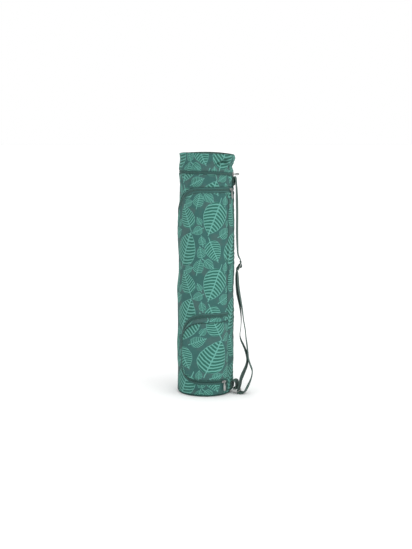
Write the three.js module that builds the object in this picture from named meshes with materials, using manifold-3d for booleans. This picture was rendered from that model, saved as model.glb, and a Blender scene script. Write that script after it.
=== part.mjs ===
// Yoga mat bag: a printed cloth tube with a gathered collar, a long zip across the front and
// down the left side, a zipped pocket low on the front, and a webbing shoulder strap.
// Millimetres, +Z up. The front of the bag faces -Y and the strap hangs on its +X side.
// The origin is the centre of the flat base, on the surface that the bag stands on.
import * as THREE from 'three';
import { mergeVertices } from 'three/addons/utils/BufferGeometryUtils.js';
import Module from 'manifold-3d';

const wasm = await Module();
wasm.setup();

// Driving dimensions of the tube and its collar
const bagDiameter = 160;
const tubeHeight = 628;
const collarHeight = 52;
const cloth = 2;
const clearance = 0.3;
const seatGap = 0.55;
const pipingDiameter = 4;
const pipingStandoff = 0.6;

// Upright seam and back seam, as turns in degrees from the front towards +X
const seamTurn = 50;
const backSeamTurn = 95;

// Long zip: straight across the front, then a quarter ellipse down the left side
const tapeWall = 1.4;
const mainTapeWidth = 14;
const mainZipBand = 48;
const mainZipDrop = 290;
const mainZipBendTurn = -15;
const mainZipSideTurn = -120;
const mainSliderTurn = 60;

// Zip under the collar
const collarTapeWidth = 7;
const collarSliderTurn = 72;
const collarPullLift = 18;

// Pocket: outer edge of its zip, its bends, its height off the tube
const pocketTop = 237;
const pocketBottom = 36;
const pocketLeftTurn = -57;
const pocketTopBendTurn = -3;
const pocketTopBendHeight = 77;
const pocketFootBendTurn = -12;
const pocketFootBendHeight = 44;
const pocketTapeWidth = 10;
const pocketDepth = 11;
const pocketCrown = 4;
const pocketShoulder = 34;
const gussetTop = 13;
const gussetSide = 6;
const gussetFoot = 4;
const pocketSliderTurn = 37;

// Zip sliders and pulls
const sliderLength = 12;
const sliderWidth = 8;
const sliderThickness = 3;
const bridgeWire = 1.3;
const bridgeSpan = 5.4;
const pullLength = 26;
const pullWidth = 7;
const pullThickness = 1.2;
const pullEyeWidth = 3.4;
const pullEyeLength = 3.8;
const pullHole = 2.4;
const bridgeRise = pullThickness + 2 * clearance + bridgeWire;

// Webbing strap, its adjuster, its ring and the tab
const strapWidth = 30;
const strapThickness = 2;
const strapReach = 52;
const strapTurn = 80;
const strapFootDrop = 38;
const strapArchDrop = 16;
const strapArchRise = 4.6;
const strapFootLift = 0.3;
const adjusterHeight = 363;
const adjusterOut = 15.5;
const adjusterFore = 8;
const adjusterLean = 20;
const adjusterBarPitch = 11.5;
const adjusterBar = 2.8;
const adjusterSideBar = 3;
const adjusterThickness = 2.6;
const ringTurn = 70;
const ringWire = 3;
const ringSlot = 9;
const ringLean = 40;
const ringHeight = 14.5;
const ringOut = 13.5;
const tabFootHeight = 9;
const tabArchHeight = 33;
const ringWrap = [-115, -150, -185, -215];

// Webbing and ring share this play at each side
const hardwarePlay = 1;

// Facets
const turnStep = 7.5;
const collarColumns = 54;
const tubeRows = 16;
const upperRows = 6;
const collarRows = 8;
const pocketRows = 9;
const zipBendSteps = 16;
const zipFootSteps = 9;
const pocketBendSteps = 7;
const pocketSideSteps = 5;
const roundSides = 6;
const webbingSteps = 2;

const radius = bagDiameter / 2;
const degree = Math.PI / 180;
const fullTurn = 360;
const halfTurn = fullTurn / 2;

// Heights that hang from the collar's seam
const mainZipHeight = tubeHeight - mainZipBand;
const strapFootHeight = tubeHeight - strapFootDrop;
const strapArchHeight = tubeHeight - strapArchDrop;

// Sections of the tube: height as a share of the tube, radii as shares of its radius
const tubeSections = [
  { at: 0.000, left: 0.965, right: 0.850, front: 0.945, back: 0.950 },
  { at: 0.008, left: 1.012, right: 0.905, front: 0.985, back: 0.985 },
  { at: 0.027, left: 1.022, right: 0.972, front: 1.000, back: 1.000 },
  { at: 0.119, left: 1.012, right: 0.973, front: 1.004, back: 0.996 },
  { at: 0.157, left: 1.034, right: 0.992, front: 1.000, back: 1.000 },
  { at: 0.213, left: 1.037, right: 0.994, front: 0.998, back: 1.004 },
  { at: 0.287, left: 1.008, right: 0.981, front: 1.000, back: 1.000 },
  { at: 0.416, left: 1.005, right: 0.998, front: 1.006, back: 0.996 },
  { at: 0.470, left: 1.020, right: 0.976, front: 1.002, back: 1.000 },
  { at: 0.562, left: 0.974, right: 0.999, front: 0.996, back: 1.005 },
  { at: 0.616, left: 0.984, right: 0.992, front: 1.000, back: 1.000 },
  { at: 0.741, left: 1.005, right: 1.002, front: 1.006, back: 0.996 },
  { at: 0.832, left: 0.982, right: 1.000, front: 1.004, back: 0.998 },
  { at: 0.872, left: 0.930, right: 0.990, front: 1.000, back: 0.992 },
  { at: 0.938, left: 0.918, right: 0.975, front: 0.980, back: 0.985 },
  { at: 1.000, left: 0.944, right: 0.963, front: 0.972, back: 0.975 },
];

// Sections of the collar: height as a share of the collar, radii as shares of the tube's radius
const collarSections = [
  { at: 0.00, left: 0.944, right: 0.963, front: 0.972, back: 0.975 },
  { at: 0.16, left: 0.948, right: 0.945, front: 0.970, back: 0.968 },
  { at: 0.37, left: 0.944, right: 0.905, front: 0.960, back: 0.955 },
  { at: 0.58, left: 0.920, right: 0.962, front: 0.968, back: 0.962 },
  { at: 0.80, left: 0.918, right: 1.014, front: 0.984, back: 0.975 },
  { at: 1.00, left: 0.932, right: 0.975, front: 0.972, back: 0.966 },
];

// Rim of the collar: how far it rises or dips, as a share of the collar's height
const rimWaves = [
  { turn: -180, rise: 0.02 }, { turn: -90, rise: -0.03 }, { turn: -48, rise: 0.05 },
  { turn: 0, rise: 0.00 }, { turn: 50, rise: -0.05 }, { turn: 90, rise: -0.09 },
  { turn: 180, rise: 0.02 },
];

// Collar seam: it dips on the strap's side, by a share of the collar's height
const seamDip = { turn: 78, spread: 48, share: 0.14 };

// Folds pressed into the cloth: turn, height as a share of the whole bag, length, width and
// depth as shares of the diameter, and the slope of the fold in degrees
const folds = [
  { turn: 36, at: 0.965, run: 0.150, width: 0.030, depth: 0.024, slope: 22 },
  { turn: 74, at: 0.951, run: 0.110, width: 0.034, depth: 0.020, slope: -14 },
  { turn: 46, at: 0.938, run: 0.070, width: 0.030, depth: 0.012, slope: -40 },
  { turn: -22, at: 0.955, run: 0.060, width: 0.030, depth: 0.012, slope: 35 },
  { turn: -62, at: 0.970, run: 0.080, width: 0.030, depth: 0.012, slope: -20 },
  { turn: 140, at: 0.960, run: 0.120, width: 0.032, depth: 0.018, slope: 16 },
  { turn: -150, at: 0.955, run: 0.110, width: 0.032, depth: 0.016, slope: -18 },
  { turn: 20, at: 0.800, run: 0.300, width: 0.090, depth: 0.006, slope: 10 },
  { turn: -62, at: 0.560, run: 0.340, width: 0.110, depth: 0.008, slope: -12 },
  { turn: 28, at: 0.420, run: 0.260, width: 0.090, depth: 0.006, slope: -8 },
  { turn: 150, at: 0.640, run: 0.420, width: 0.120, depth: 0.009, slope: 14 },
  { turn: -165, at: 0.300, run: 0.420, width: 0.120, depth: 0.009, slope: -14 },
];

// Run of the strap between the adjuster and its arch: height as a share of the way from one to
// the other, distance from the bag's side as a share of the reach, distance to the front as a
// share of the strap's width, and yaw in degrees
const upperRun = [
  { at: 0.913, out: 0.092, fore: 0.46, yaw: 6 },
  { at: 0.774, out: 0.125, fore: 0.42, yaw: 9 },
  { at: 0.603, out: 0.142, fore: 0.36, yaw: 9 },
  { at: 0.378, out: 0.145, fore: 0.32, yaw: 9 },
  { at: 0.232, out: 0.165, fore: 0.30, yaw: 8 },
  { at: 0.118, out: 0.215, fore: 0.28, yaw: 6 },
];

// Outer layer of the strap, from the adjuster down to the ring: height as a share of the adjuster's
const outerRun = [
  { at: 0.939, out: 0.180, fore: 0.27, yaw: 5 },
  { at: 0.891, out: 0.200, fore: 0.28, yaw: 6 },
  { at: 0.848, out: 0.220, fore: 0.29, yaw: 6 },
  { at: 0.787, out: 0.280, fore: 0.31, yaw: 6 },
  { at: 0.699, out: 0.390, fore: 0.36, yaw: 6 },
  { at: 0.633, out: 0.462, fore: 0.42, yaw: 5 },
  { at: 0.571, out: 0.515, fore: 0.50, yaw: 3 },
  { at: 0.502, out: 0.600, fore: 0.60, yaw: 3 },
  { at: 0.436, out: 0.648, fore: 0.76, yaw: 4 },
  { at: 0.381, out: 0.700, fore: 0.96, yaw: 6 },
  { at: 0.329, out: 0.735, fore: 1.16, yaw: 9 },
  { at: 0.277, out: 0.775, fore: 1.36, yaw: 12 },
  { at: 0.235, out: 0.865, fore: 1.48, yaw: 16 },
  { at: 0.194, out: 0.970, fore: 1.56, yaw: 18 },
  { at: 0.159, out: 0.965, fore: 1.56, yaw: 20 },
  { at: 0.114, out: 0.885, fore: 1.51, yaw: 20 },
  { at: 0.073, out: 0.770, fore: 1.46, yaw: 20 },
  { at: 0.033, out: 0.650, fore: 1.39, yaw: 20 },
  { at: 0.008, out: 0.535, fore: 1.31, yaw: 20 },
];

// Inner layer of the strap, from the ring up to the adjuster: height as a share of the adjuster's
const innerRun = [
  { at: 0.064, out: 0.305, fore: 1.16, yaw: 20 },
  { at: 0.100, out: 0.355, fore: 1.20, yaw: 20 },
  { at: 0.138, out: 0.430, fore: 1.25, yaw: 20 },
  { at: 0.173, out: 0.520, fore: 1.30, yaw: 20 },
  { at: 0.208, out: 0.620, fore: 1.34, yaw: 19 },
  { at: 0.242, out: 0.690, fore: 1.34, yaw: 15 },
  { at: 0.277, out: 0.715, fore: 1.31, yaw: 12 },
  { at: 0.311, out: 0.680, fore: 1.21, yaw: 10 },
  { at: 0.346, out: 0.605, fore: 1.08, yaw: 8 },
  { at: 0.381, out: 0.500, fore: 0.96, yaw: 6 },
  { at: 0.415, out: 0.385, fore: 0.83, yaw: 4 },
  { at: 0.443, out: 0.325, fore: 0.75, yaw: 3 },
  { at: 0.471, out: 0.320, fore: 0.68, yaw: 3 },
  { at: 0.512, out: 0.360, fore: 0.59, yaw: 3 },
  { at: 0.562, out: 0.385, fore: 0.51, yaw: 3 },
  { at: 0.626, out: 0.365, fore: 0.43, yaw: 5 },
  { at: 0.695, out: 0.295, fore: 0.37, yaw: 6 },
  { at: 0.782, out: 0.170, fore: 0.31, yaw: 6 },
  { at: 0.848, out: 0.125, fore: 0.29, yaw: 6 },
  { at: 0.900, out: 0.110, fore: 0.28, yaw: 6 },
  { at: 0.939, out: 0.108, fore: 0.27, yaw: 5 },
];

// Value of a column between the rows of a table, eased from row to row
function between(table, key, at, column) {
  let row = 0;
  while (row < table.length - 2 && table[row + 1][key] < at) row += 1;
  const low = table[row];
  const high = table[row + 1];
  const share = THREE.MathUtils.clamp((at - low[key]) / (high[key] - low[key]), 0, 1);
  return low[column] + (high[column] - low[column]) * share * share * (3 - 2 * share);
}

function wrapTurn(turn) {
  return ((turn + halfTurn) % fullTurn + fullTurn) % fullTurn - halfTurn;
}

function seamHeight(turn) {
  const away = wrapTurn(turn - seamDip.turn) / seamDip.spread;
  return tubeHeight - collarHeight * seamDip.share * Math.exp(-away * away);
}

function rimHeight(turn) {
  return tubeHeight + collarHeight * (1 + between(rimWaves, 'turn', wrapTurn(turn), 'rise'));
}

// How deep the folds press the cloth in at one place
function foldDepth(turn, z) {
  const bagHeight = tubeHeight + collarHeight;
  let depth = 0;
  for (const fold of folds) {
    const x = wrapTurn(turn - fold.turn) * degree * radius;
    const y = z - fold.at * bagHeight;
    const c = Math.cos(fold.slope * degree);
    const s = Math.sin(fold.slope * degree);
    const along = (x * c + y * s) / (fold.run * bagDiameter);
    const across = (y * c - x * s) / (fold.width * bagDiameter);
    depth += fold.depth * bagDiameter * Math.exp(-along * along * 2 - across * across);
  }
  return depth;
}

// Outer face of the cloth: distance from the bag's axis at one turn and height
function skin(turn, z) {
  const seam = seamHeight(turn);
  const inCollar = z > seam;
  const table = inCollar ? collarSections : tubeSections;
  const at = inCollar ? (z - seam) / (rimHeight(turn) - seam) : z / seam;
  const side = Math.sin(turn * degree);
  const fore = Math.cos(turn * degree);
  const across = between(table, 'at', at, side > 0 ? 'right' : 'left');
  const along = between(table, 'at', at, fore > 0 ? 'front' : 'back');
  return radius * (across * side * side + along * fore * fore) - foldDepth(turn, z);
}

function onTurn(turn, distance, z) {
  return [distance * Math.sin(turn * degree), -distance * Math.cos(turn * degree), z];
}

function meshFrom(points, faces) {
  const geometry = new THREE.BufferGeometry();
  geometry.setAttribute('position', new THREE.Float32BufferAttribute(points.flat(), 3));
  geometry.setIndex(faces.flat());
  return geometry;
}

// Two triangles over four corners, given counterclockwise as seen from outside
function quad(a, b, c, d) {
  return [[a, b, c], [a, c, d]];
}

// A sheet of cloth between two edges, each a list of { turn, z } of one length. The edges run
// towards +X, lift gives the height of its outer face above the skin, and a closed sheet is a ring.
function clothSheet({ lower, upper, rows, wall, lift = () => 0, closed = false }) {
  const columns = lower.length;
  const points = [];
  for (const depth of [0, wall]) {
    for (let i = 0; i < columns; i += 1) {
      for (let j = 0; j <= rows; j += 1) {
        const share = j / rows;
        const turn = THREE.MathUtils.lerp(lower[i].turn, upper[i].turn, share);
        const z = THREE.MathUtils.lerp(lower[i].z, upper[i].z, share);
        points.push(onTurn(turn, skin(turn, z) + lift(turn, z, share) - depth, z));
      }
    }
  }
  const outer = (i, j) => (i % columns) * (rows + 1) + j;
  const inner = (i, j) => outer(i, j) + columns * (rows + 1);
  const faces = [];
  const spans = closed ? columns : columns - 1;
  for (let i = 0; i < spans; i += 1) {
    for (let j = 0; j < rows; j += 1) {
      faces.push(...quad(outer(i, j), outer(i + 1, j), outer(i + 1, j + 1), outer(i, j + 1)));
      faces.push(...quad(inner(i, j), inner(i, j + 1), inner(i + 1, j + 1), inner(i + 1, j)));
    }
    faces.push(...quad(inner(i, 0), inner(i + 1, 0), outer(i + 1, 0), outer(i, 0)));
    faces.push(...quad(outer(i, rows), outer(i + 1, rows), inner(i + 1, rows), inner(i, rows)));
  }
  if (!closed) {
    const last = columns - 1;
    for (let j = 0; j < rows; j += 1) {
      faces.push(...quad(inner(0, j), outer(0, j), outer(0, j + 1), inner(0, j + 1)));
      faces.push(...quad(outer(last, j), inner(last, j), inner(last, j + 1), outer(last, j + 1)));
    }
  }
  return meshFrom(points, faces);
}

// A solid drawn along a line: each station is a list of corner points, given counterclockwise
// as seen looking back along the line, and a closed one joins its last station to its first
function stationSolid(stations, closed = false) {
  const sides = stations[0].length;
  const corner = (i, k) => (i % stations.length) * sides + (k % sides);
  const faces = [];
  const spans = closed ? stations.length : stations.length - 1;
  for (let i = 0; i < spans; i += 1) {
    for (let k = 0; k < sides; k += 1) {
      faces.push(...quad(corner(i, k), corner(i, k + 1), corner(i + 1, k + 1), corner(i + 1, k)));
    }
  }
  if (!closed) {
    for (let k = 1; k < sides - 1; k += 1) {
      faces.push([corner(0, 0), corner(0, k + 1), corner(0, k)]);
      const end = stations.length - 1;
      faces.push([corner(end, 0), corner(end, k), corner(end, k + 1)]);
    }
  }
  return meshFrom(stations.flat(), faces);
}

function evenTurns(from, to) {
  const steps = Math.max(1, Math.round(Math.abs(to - from) / turnStep));
  return Array.from({ length: steps + 1 }, (_, i) => from + (to - from) * i / steps);
}

function turnOf(length) {
  return length / radius / degree;
}

// Half of a sheet edge's gap, as a turn
const gapTurn = turnOf(clearance / 2);

// Edge of the long zip, offset outwards (up and to the left) from the middle of its tape.
// It runs from the left side up and over the front to the back seam on the right.
function mainZipCurve(offset) {
  const centre = mainZipHeight - mainZipDrop;
  const bendSpan = mainZipBendTurn - mainZipSideTurn + turnOf(offset);
  const curve = [];
  for (let i = 0; i < zipBendSteps; i += 1) {
    const angle = i / zipBendSteps * Math.PI / 2;
    curve.push({
      turn: mainZipBendTurn - bendSpan * Math.cos(angle),
      z: centre + (mainZipDrop + offset) * Math.sin(angle),
    });
  }
  const straight = [
    ...evenTurns(mainZipBendTurn, seamTurn - gapTurn),
    ...evenTurns(seamTurn + gapTurn, backSeamTurn - gapTurn),
  ];
  for (const turn of straight) curve.push({ turn, z: mainZipHeight + offset });
  return curve;
}

const halfMainTape = mainTapeWidth / 2;
const panelFoot = pipingDiameter + clearance * 2;
const footEdge = (edge) => edge.map(({ turn }) => ({ turn, z: panelFoot }));
const seamEdge = (edge, offset) => edge.map(({ turn }) => ({ turn, z: seamHeight(turn) + offset }));
const panelTopOffset = -collarTapeWidth / 2 - clearance;

function baseRadius(turn) {
  return skin(turn, pipingDiameter / 2) + pipingStandoff - pipingDiameter;
}

function basePanel() {
  const outline = evenTurns(-halfTurn, halfTurn - turnStep).map((turn) => {
    const [x, y] = onTurn(turn, baseRadius(turn) - clearance, 0);
    return new THREE.Vector2(x, y);
  });
  return new THREE.ExtrudeGeometry(new THREE.Shape(outline), { depth: cloth, bevelEnabled: false });
}

function basePiping() {
  const half = pipingDiameter / 2;
  const stations = evenTurns(-halfTurn, halfTurn - turnStep).map((turn) => {
    const middle = baseRadius(turn) + half;
    return Array.from({ length: roundSides }, (_, k) => {
      const angle = -k / roundSides * 2 * Math.PI;
      return onTurn(turn, middle + half * Math.cos(angle), half + clearance + half * Math.sin(angle));
    });
  });
  return stationSolid(stations, true);
}

function frontPanel() {
  const upper = mainZipCurve(-halfMainTape - clearance)
    .filter(({ turn }) => turn < seamTurn);
  return clothSheet({ lower: footEdge(upper), upper, rows: tubeRows, wall: cloth });
}

function sidePanel() {
  const upper = mainZipCurve(-halfMainTape - clearance)
    .filter(({ turn }) => turn > seamTurn);
  return clothSheet({ lower: footEdge(upper), upper, rows: tubeRows, wall: cloth });
}

function upperPanel() {
  const lower = mainZipCurve(halfMainTape + clearance);
  const upper = seamEdge(lower, panelTopOffset);
  return clothSheet({ lower, upper, rows: upperRows, wall: cloth });
}

function backPanel() {
  const leftTurn = mainZipSideTurn - turnOf(halfMainTape + clearance * 2);
  const lower = evenTurns(backSeamTurn + gapTurn, leftTurn + fullTurn)
    .map((turn) => ({ turn, z: panelFoot }));
  const upper = seamEdge(lower, panelTopOffset);
  return clothSheet({ lower, upper, rows: tubeRows, wall: cloth });
}

// The tape runs on below the bend, straight down to the base
function mainZipTape() {
  const upper = mainZipCurve(halfMainTape);
  const lower = mainZipCurve(-halfMainTape);
  for (const edge of [upper, lower]) {
    const { turn, z } = edge[0];
    for (let i = 1; i <= zipFootSteps; i += 1) {
      edge.unshift({ turn, z: THREE.MathUtils.lerp(z, panelFoot, i / zipFootSteps) });
    }
  }
  return clothSheet({ lower, upper, rows: 1, wall: tapeWall });
}

const collarRing = Array.from({ length: collarColumns }, (_, i) => (
  { turn: -halfTurn + fullTurn * i / collarColumns }
));

function collarPiece() {
  return clothSheet({
    lower: seamEdge(collarRing, collarTapeWidth / 2 + clearance),
    upper: collarRing.map(({ turn }) => ({ turn, z: rimHeight(turn) })),
    rows: collarRows, wall: cloth, closed: true,
  });
}

function collarZipTape() {
  return clothSheet({
    lower: seamEdge(collarRing, -collarTapeWidth / 2),
    upper: seamEdge(collarRing, collarTapeWidth / 2),
    rows: 1, wall: tapeWall, closed: true,
  });
}

// Edge of the pocket, set in from the outer edge of its zip by three lengths. It runs from the
// upright seam over the top and along the foot, each as far as the straight left side.
function pocketEdge(inTop, inSide, inFoot) {
  const right = seamTurn - gapTurn * 4;
  const topBend = pocketTopBendTurn;
  const footBend = pocketFootBendTurn;
  const topHalf = topBend - pocketLeftTurn - turnOf(inSide);
  const footHalf = footBend - pocketLeftTurn - turnOf(inSide);
  const topCentre = pocketTop - pocketTopBendHeight;
  const footCentre = pocketBottom + pocketFootBendHeight;
  const top = evenTurns(right, topBend).map((turn) => ({ turn, z: pocketTop - inTop }));
  const foot = top.map(({ turn }) => ({
    turn: THREE.MathUtils.mapLinear(turn, right, topBend, right, footBend),
    z: pocketBottom + inFoot,
  }));
  for (let i = 1; i <= pocketBendSteps; i += 1) {
    const angle = i / pocketBendSteps * Math.PI / 2;
    top.push({
      turn: topBend - topHalf * Math.sin(angle),
      z: topCentre + (pocketTopBendHeight - inTop) * Math.cos(angle),
    });
    foot.push({
      turn: footBend - footHalf * Math.sin(angle),
      z: footCentre - (pocketFootBendHeight - inFoot) * Math.cos(angle),
    });
  }
  return { top, foot };
}

// The whole edge in one line, with the straight left side cut into steps
function pocketLoop(inTop, inSide, inFoot) {
  const { top, foot } = pocketEdge(inTop, inSide, inFoot);
  const from = top[top.length - 1];
  const to = foot[foot.length - 1];
  const side = Array.from({ length: pocketSideSteps - 1 }, (_, i) => ({
    turn: from.turn,
    z: THREE.MathUtils.lerp(from.z, to.z, (i + 1) / pocketSideSteps),
  }));
  return [...top, ...side, ...foot.reverse()];
}

// How far the pocket stands off the tube: nothing at the upright seam, full after a shoulder
function pocketRise(turn) {
  const share = (seamTurn - turn) * degree * radius / pocketShoulder;
  return pocketDepth * THREE.MathUtils.smoothstep(share, 0, 1);
}

const pocketSkinGap = seatGap + cloth;
const gussetInset = pocketTapeWidth + clearance;

function pocketTape() {
  return clothSheet({
    lower: pocketLoop(pocketTapeWidth, pocketTapeWidth, pocketTapeWidth).reverse(),
    upper: pocketLoop(0, 0, 0).reverse(),
    rows: 1, wall: tapeWall, lift: () => seatGap + tapeWall,
  });
}

function pocketGusset() {
  return clothSheet({
    lower: pocketLoop(
      gussetInset + gussetTop, gussetInset + gussetSide, gussetInset + gussetFoot,
    ).reverse(),
    upper: pocketLoop(gussetInset, gussetInset, gussetInset).reverse(),
    rows: 2, wall: cloth,
    lift: (turn, z, share) => pocketSkinGap + pocketRise(turn) * (1 - share * share),
  });
}

function pocketFront() {
  const { top, foot } = pocketEdge(
    gussetInset + gussetTop + clearance,
    gussetInset + gussetSide + clearance,
    gussetInset + gussetFoot + clearance,
  );
  const middleTurn = (seamTurn + pocketLeftTurn) / 2;
  const halfSpan = (seamTurn - pocketLeftTurn) / 2;
  return clothSheet({
    lower: foot.reverse(), upper: top.reverse(), rows: pocketRows, wall: cloth,
    lift: (turn, z, share) => {
      const away = (turn - middleTurn) / halfSpan;
      const crown = Math.max(0, 1 - away * away) * Math.sin(Math.PI * share);
      return pocketSkinGap + pocketRise(turn) + pocketCrown * crown;
    },
  });
}

// Joins of closed geometries
function solidOf(geometry) {
  geometry.deleteAttribute('normal');
  geometry.deleteAttribute('uv');
  const merged = mergeVertices(geometry, 1e-4);
  return new wasm.Manifold(new wasm.Mesh({
    numProp: 3,
    vertProperties: merged.attributes.position.array,
    triVerts: Uint32Array.from(merged.index.array),
  }));
}

function geometryOf(solid) {
  const { vertProperties, triVerts } = solid.getMesh();
  const geometry = new THREE.BufferGeometry();
  geometry.setAttribute('position', new THREE.BufferAttribute(vertProperties, 3));
  geometry.setIndex(new THREE.BufferAttribute(triVerts, 1));
  return geometry;
}

// A round wire through points in a plane, where the points turn about the axis 'across'
function wire(points, diameter, across, closed) {
  const stations = points.map((point, i) => {
    const last = points.length - 1;
    const before = points[closed ? (i + last) % points.length : Math.max(i - 1, 0)];
    const after = points[closed ? (i + 1) % points.length : Math.min(i + 1, last)];
    const along = after.clone().sub(before).normalize();
    const normal = new THREE.Vector3().crossVectors(across, along).normalize();
    return Array.from({ length: roundSides }, (_, k) => {
      const angle = k / roundSides * 2 * Math.PI;
      return point.clone()
        .addScaledVector(across, Math.cos(angle) * diameter / 2)
        .addScaledVector(normal, -Math.sin(angle) * diameter / 2)
        .toArray();
    });
  });
  return stationSolid(stations, closed);
}

// Slider in its own frame: tape along X, outwards -Y, and a bridge across the tape along Z
function sliderGeometry() {
  const half = sliderLength / 2;
  const nose = sliderWidth * 0.36;
  const outline = new THREE.Shape([
    new THREE.Vector2(-half, -nose), new THREE.Vector2(half * 0.5, -sliderWidth / 2),
    new THREE.Vector2(half, -sliderWidth * 0.3), new THREE.Vector2(half, sliderWidth * 0.3),
    new THREE.Vector2(half * 0.5, sliderWidth / 2), new THREE.Vector2(-half, nose),
  ]);
  const bevel = sliderThickness * 0.2;
  const body = new THREE.ExtrudeGeometry(outline, {
    depth: sliderThickness - 2 * bevel, bevelEnabled: true, bevelSegments: 1,
    bevelSize: bevel, bevelThickness: bevel, bevelOffset: -bevel,
  });
  body.rotateX(Math.PI / 2);
  body.translate(0, -bevel, 0);
  const top = -sliderThickness - bridgeRise + bridgeWire / 2;
  const foot = -sliderThickness / 2;
  const corner = bridgeSpan * 0.28;
  const path = [
    [0, foot, bridgeSpan / 2], [0, top + corner, bridgeSpan / 2], [0, top, bridgeSpan / 2 - corner],
    [0, top, corner - bridgeSpan / 2], [0, top + corner, -bridgeSpan / 2], [0, foot, -bridgeSpan / 2],
  ].map((place) => new THREE.Vector3(...place));
  const bridge = wire(path, bridgeWire, new THREE.Vector3(1, 0, 0), false);
  return geometryOf(solidOf(body).add(solidOf(bridge)));
}

// Pull in its own frame: its top bar lies on X at the origin and it hangs towards -Z
function pullGeometry() {
  const bar = pullThickness;
  const half = pullWidth / 2;
  const shoulder = half * 0.62;
  const outline = new THREE.Shape([
    new THREE.Vector2(-shoulder, bar / 2), new THREE.Vector2(-shoulder, -pullEyeLength - bar),
    new THREE.Vector2(-half, -pullLength * 0.45), new THREE.Vector2(-half, -pullLength + half * 0.8),
    new THREE.Vector2(-half * 0.5, -pullLength), new THREE.Vector2(half * 0.5, -pullLength),
    new THREE.Vector2(half, -pullLength + half * 0.8), new THREE.Vector2(half, -pullLength * 0.45),
    new THREE.Vector2(shoulder, -pullEyeLength - bar), new THREE.Vector2(shoulder, bar / 2),
  ]);
  const eye = new THREE.Path([
    new THREE.Vector2(-pullEyeWidth / 2, -bar / 2), new THREE.Vector2(pullEyeWidth / 2, -bar / 2),
    new THREE.Vector2(pullEyeWidth / 2, -bar / 2 - pullEyeLength),
    new THREE.Vector2(-pullEyeWidth / 2, -bar / 2 - pullEyeLength),
  ]);
  const hole = new THREE.Path();
  hole.absarc(0, -pullLength + half, pullHole / 2, 0, 2 * Math.PI);
  outline.holes.push(eye, hole);
  const plate = new THREE.ExtrudeGeometry(outline, {
    depth: pullThickness, bevelEnabled: false, curveSegments: 8,
  });
  plate.rotateX(Math.PI / 2);
  plate.translate(0, pullThickness / 2, 0);
  return plate;
}

// Adjuster in its own frame: a flat plate, bars along X, two slots, its middle at the origin
function adjusterGeometry() {
  const slotWidth = strapWidth + 2 * hardwarePlay;
  const halfWidth = slotWidth / 2 + adjusterSideBar;
  const halfHeight = adjusterBarPitch + adjusterBar / 2;
  const corner = adjusterSideBar;
  const outline = new THREE.Shape([
    new THREE.Vector2(-halfWidth, -halfHeight + corner), new THREE.Vector2(-halfWidth + corner, -halfHeight),
    new THREE.Vector2(halfWidth - corner, -halfHeight), new THREE.Vector2(halfWidth, -halfHeight + corner),
    new THREE.Vector2(halfWidth, halfHeight - corner), new THREE.Vector2(halfWidth - corner, halfHeight),
    new THREE.Vector2(-halfWidth + corner, halfHeight), new THREE.Vector2(-halfWidth, halfHeight - corner),
  ]);
  for (const side of [-1, 1]) {
    const near = side * adjusterBar / 2;
    const far = side * (adjusterBarPitch - adjusterBar / 2);
    outline.holes.push(new THREE.Path([
      new THREE.Vector2(-slotWidth / 2, near), new THREE.Vector2(-slotWidth / 2, far),
      new THREE.Vector2(slotWidth / 2, far), new THREE.Vector2(slotWidth / 2, near),
    ]));
  }
  const plate = new THREE.ExtrudeGeometry(outline, { depth: adjusterThickness, bevelEnabled: false });
  plate.translate(0, 0, -adjusterThickness / 2);
  return plate;
}

// Frame of the ring and the tab: outwards from the bag at ringTurn
const ringAxis = new THREE.Vector3(Math.cos(ringTurn * degree), Math.sin(ringTurn * degree), 0);
const ringRight = new THREE.Vector3(Math.sin(ringTurn * degree), -Math.cos(ringTurn * degree), 0);
const up = new THREE.Vector3(0, 0, 1);
const ringSide = skin(ringTurn, ringHeight);

// A point in the upright plane through the bag's axis and the ring
function inRingPlane(out, z) {
  return ringRight.clone().multiplyScalar(out).addScaledVector(up, z);
}

const ringPitch = ringSlot + ringWire;
const tabBar = { out: ringSide + ringOut, z: ringHeight };
const strapBar = {
  out: tabBar.out + ringPitch * Math.cos(ringLean * degree),
  z: ringHeight - ringPitch * Math.sin(ringLean * degree),
};

function ringGeometry() {
  const along = inRingPlane(strapBar.out, strapBar.z).sub(inRingPlane(tabBar.out, tabBar.z)).normalize();
  const across = ringAxis;
  const normal = new THREE.Vector3().crossVectors(across, along);
  const middle = inRingPlane((tabBar.out + strapBar.out) / 2, (tabBar.z + strapBar.z) / 2);
  const halfLong = strapWidth / 2 + hardwarePlay + ringWire / 2;
  const halfShort = ringPitch / 2;
  const corner = ringWire * 0.8;
  const outline = [];
  for (const [sx, sy] of [[1, 1], [-1, 1], [-1, -1], [1, -1]]) {
    for (const bend of sx * sy > 0 ? [0, 45, 90] : [90, 45, 0]) {
      outline.push([
        sx * (halfLong - corner + corner * Math.cos(bend * degree)),
        sy * (halfShort - corner + corner * Math.sin(bend * degree)),
      ]);
    }
  }
  const points = outline.map(([x, y]) => middle.clone()
    .addScaledVector(across, x).addScaledVector(along, y));
  return wire(points, ringWire, normal, true);
}

// Webbing: a flat band through points, its width turned to each point's own side direction
function webbing(route) {
  const curve = new THREE.CatmullRomCurve3(route.map(({ place }) => place), false, 'centripetal');
  const stations = [];
  const spans = route.length - 1;
  for (let i = 0; i <= spans * webbingSteps; i += 1) {
    const share = i / (spans * webbingSteps);
    const index = Math.min(Math.floor(i / webbingSteps), spans - 1);
    const within = i / webbingSteps - index;
    const place = curve.getPoint(share);
    const along = curve.getTangent(share);
    const yaw = THREE.MathUtils.lerp(route[index].yaw, route[index + 1].yaw, within) * degree;
    const side = new THREE.Vector3(Math.sin(yaw), Math.cos(yaw), 0);
    side.addScaledVector(along, -side.dot(along)).normalize();
    const face = new THREE.Vector3().crossVectors(along, side);
    stations.push([[-1, -1], [1, -1], [1, 1], [-1, 1]].map(([a, b]) => place.clone()
      .addScaledVector(side, a * strapWidth / 2)
      .addScaledVector(face, b * strapThickness / 2)
      .toArray()));
  }
  return stationSolid(stations);
}

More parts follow.
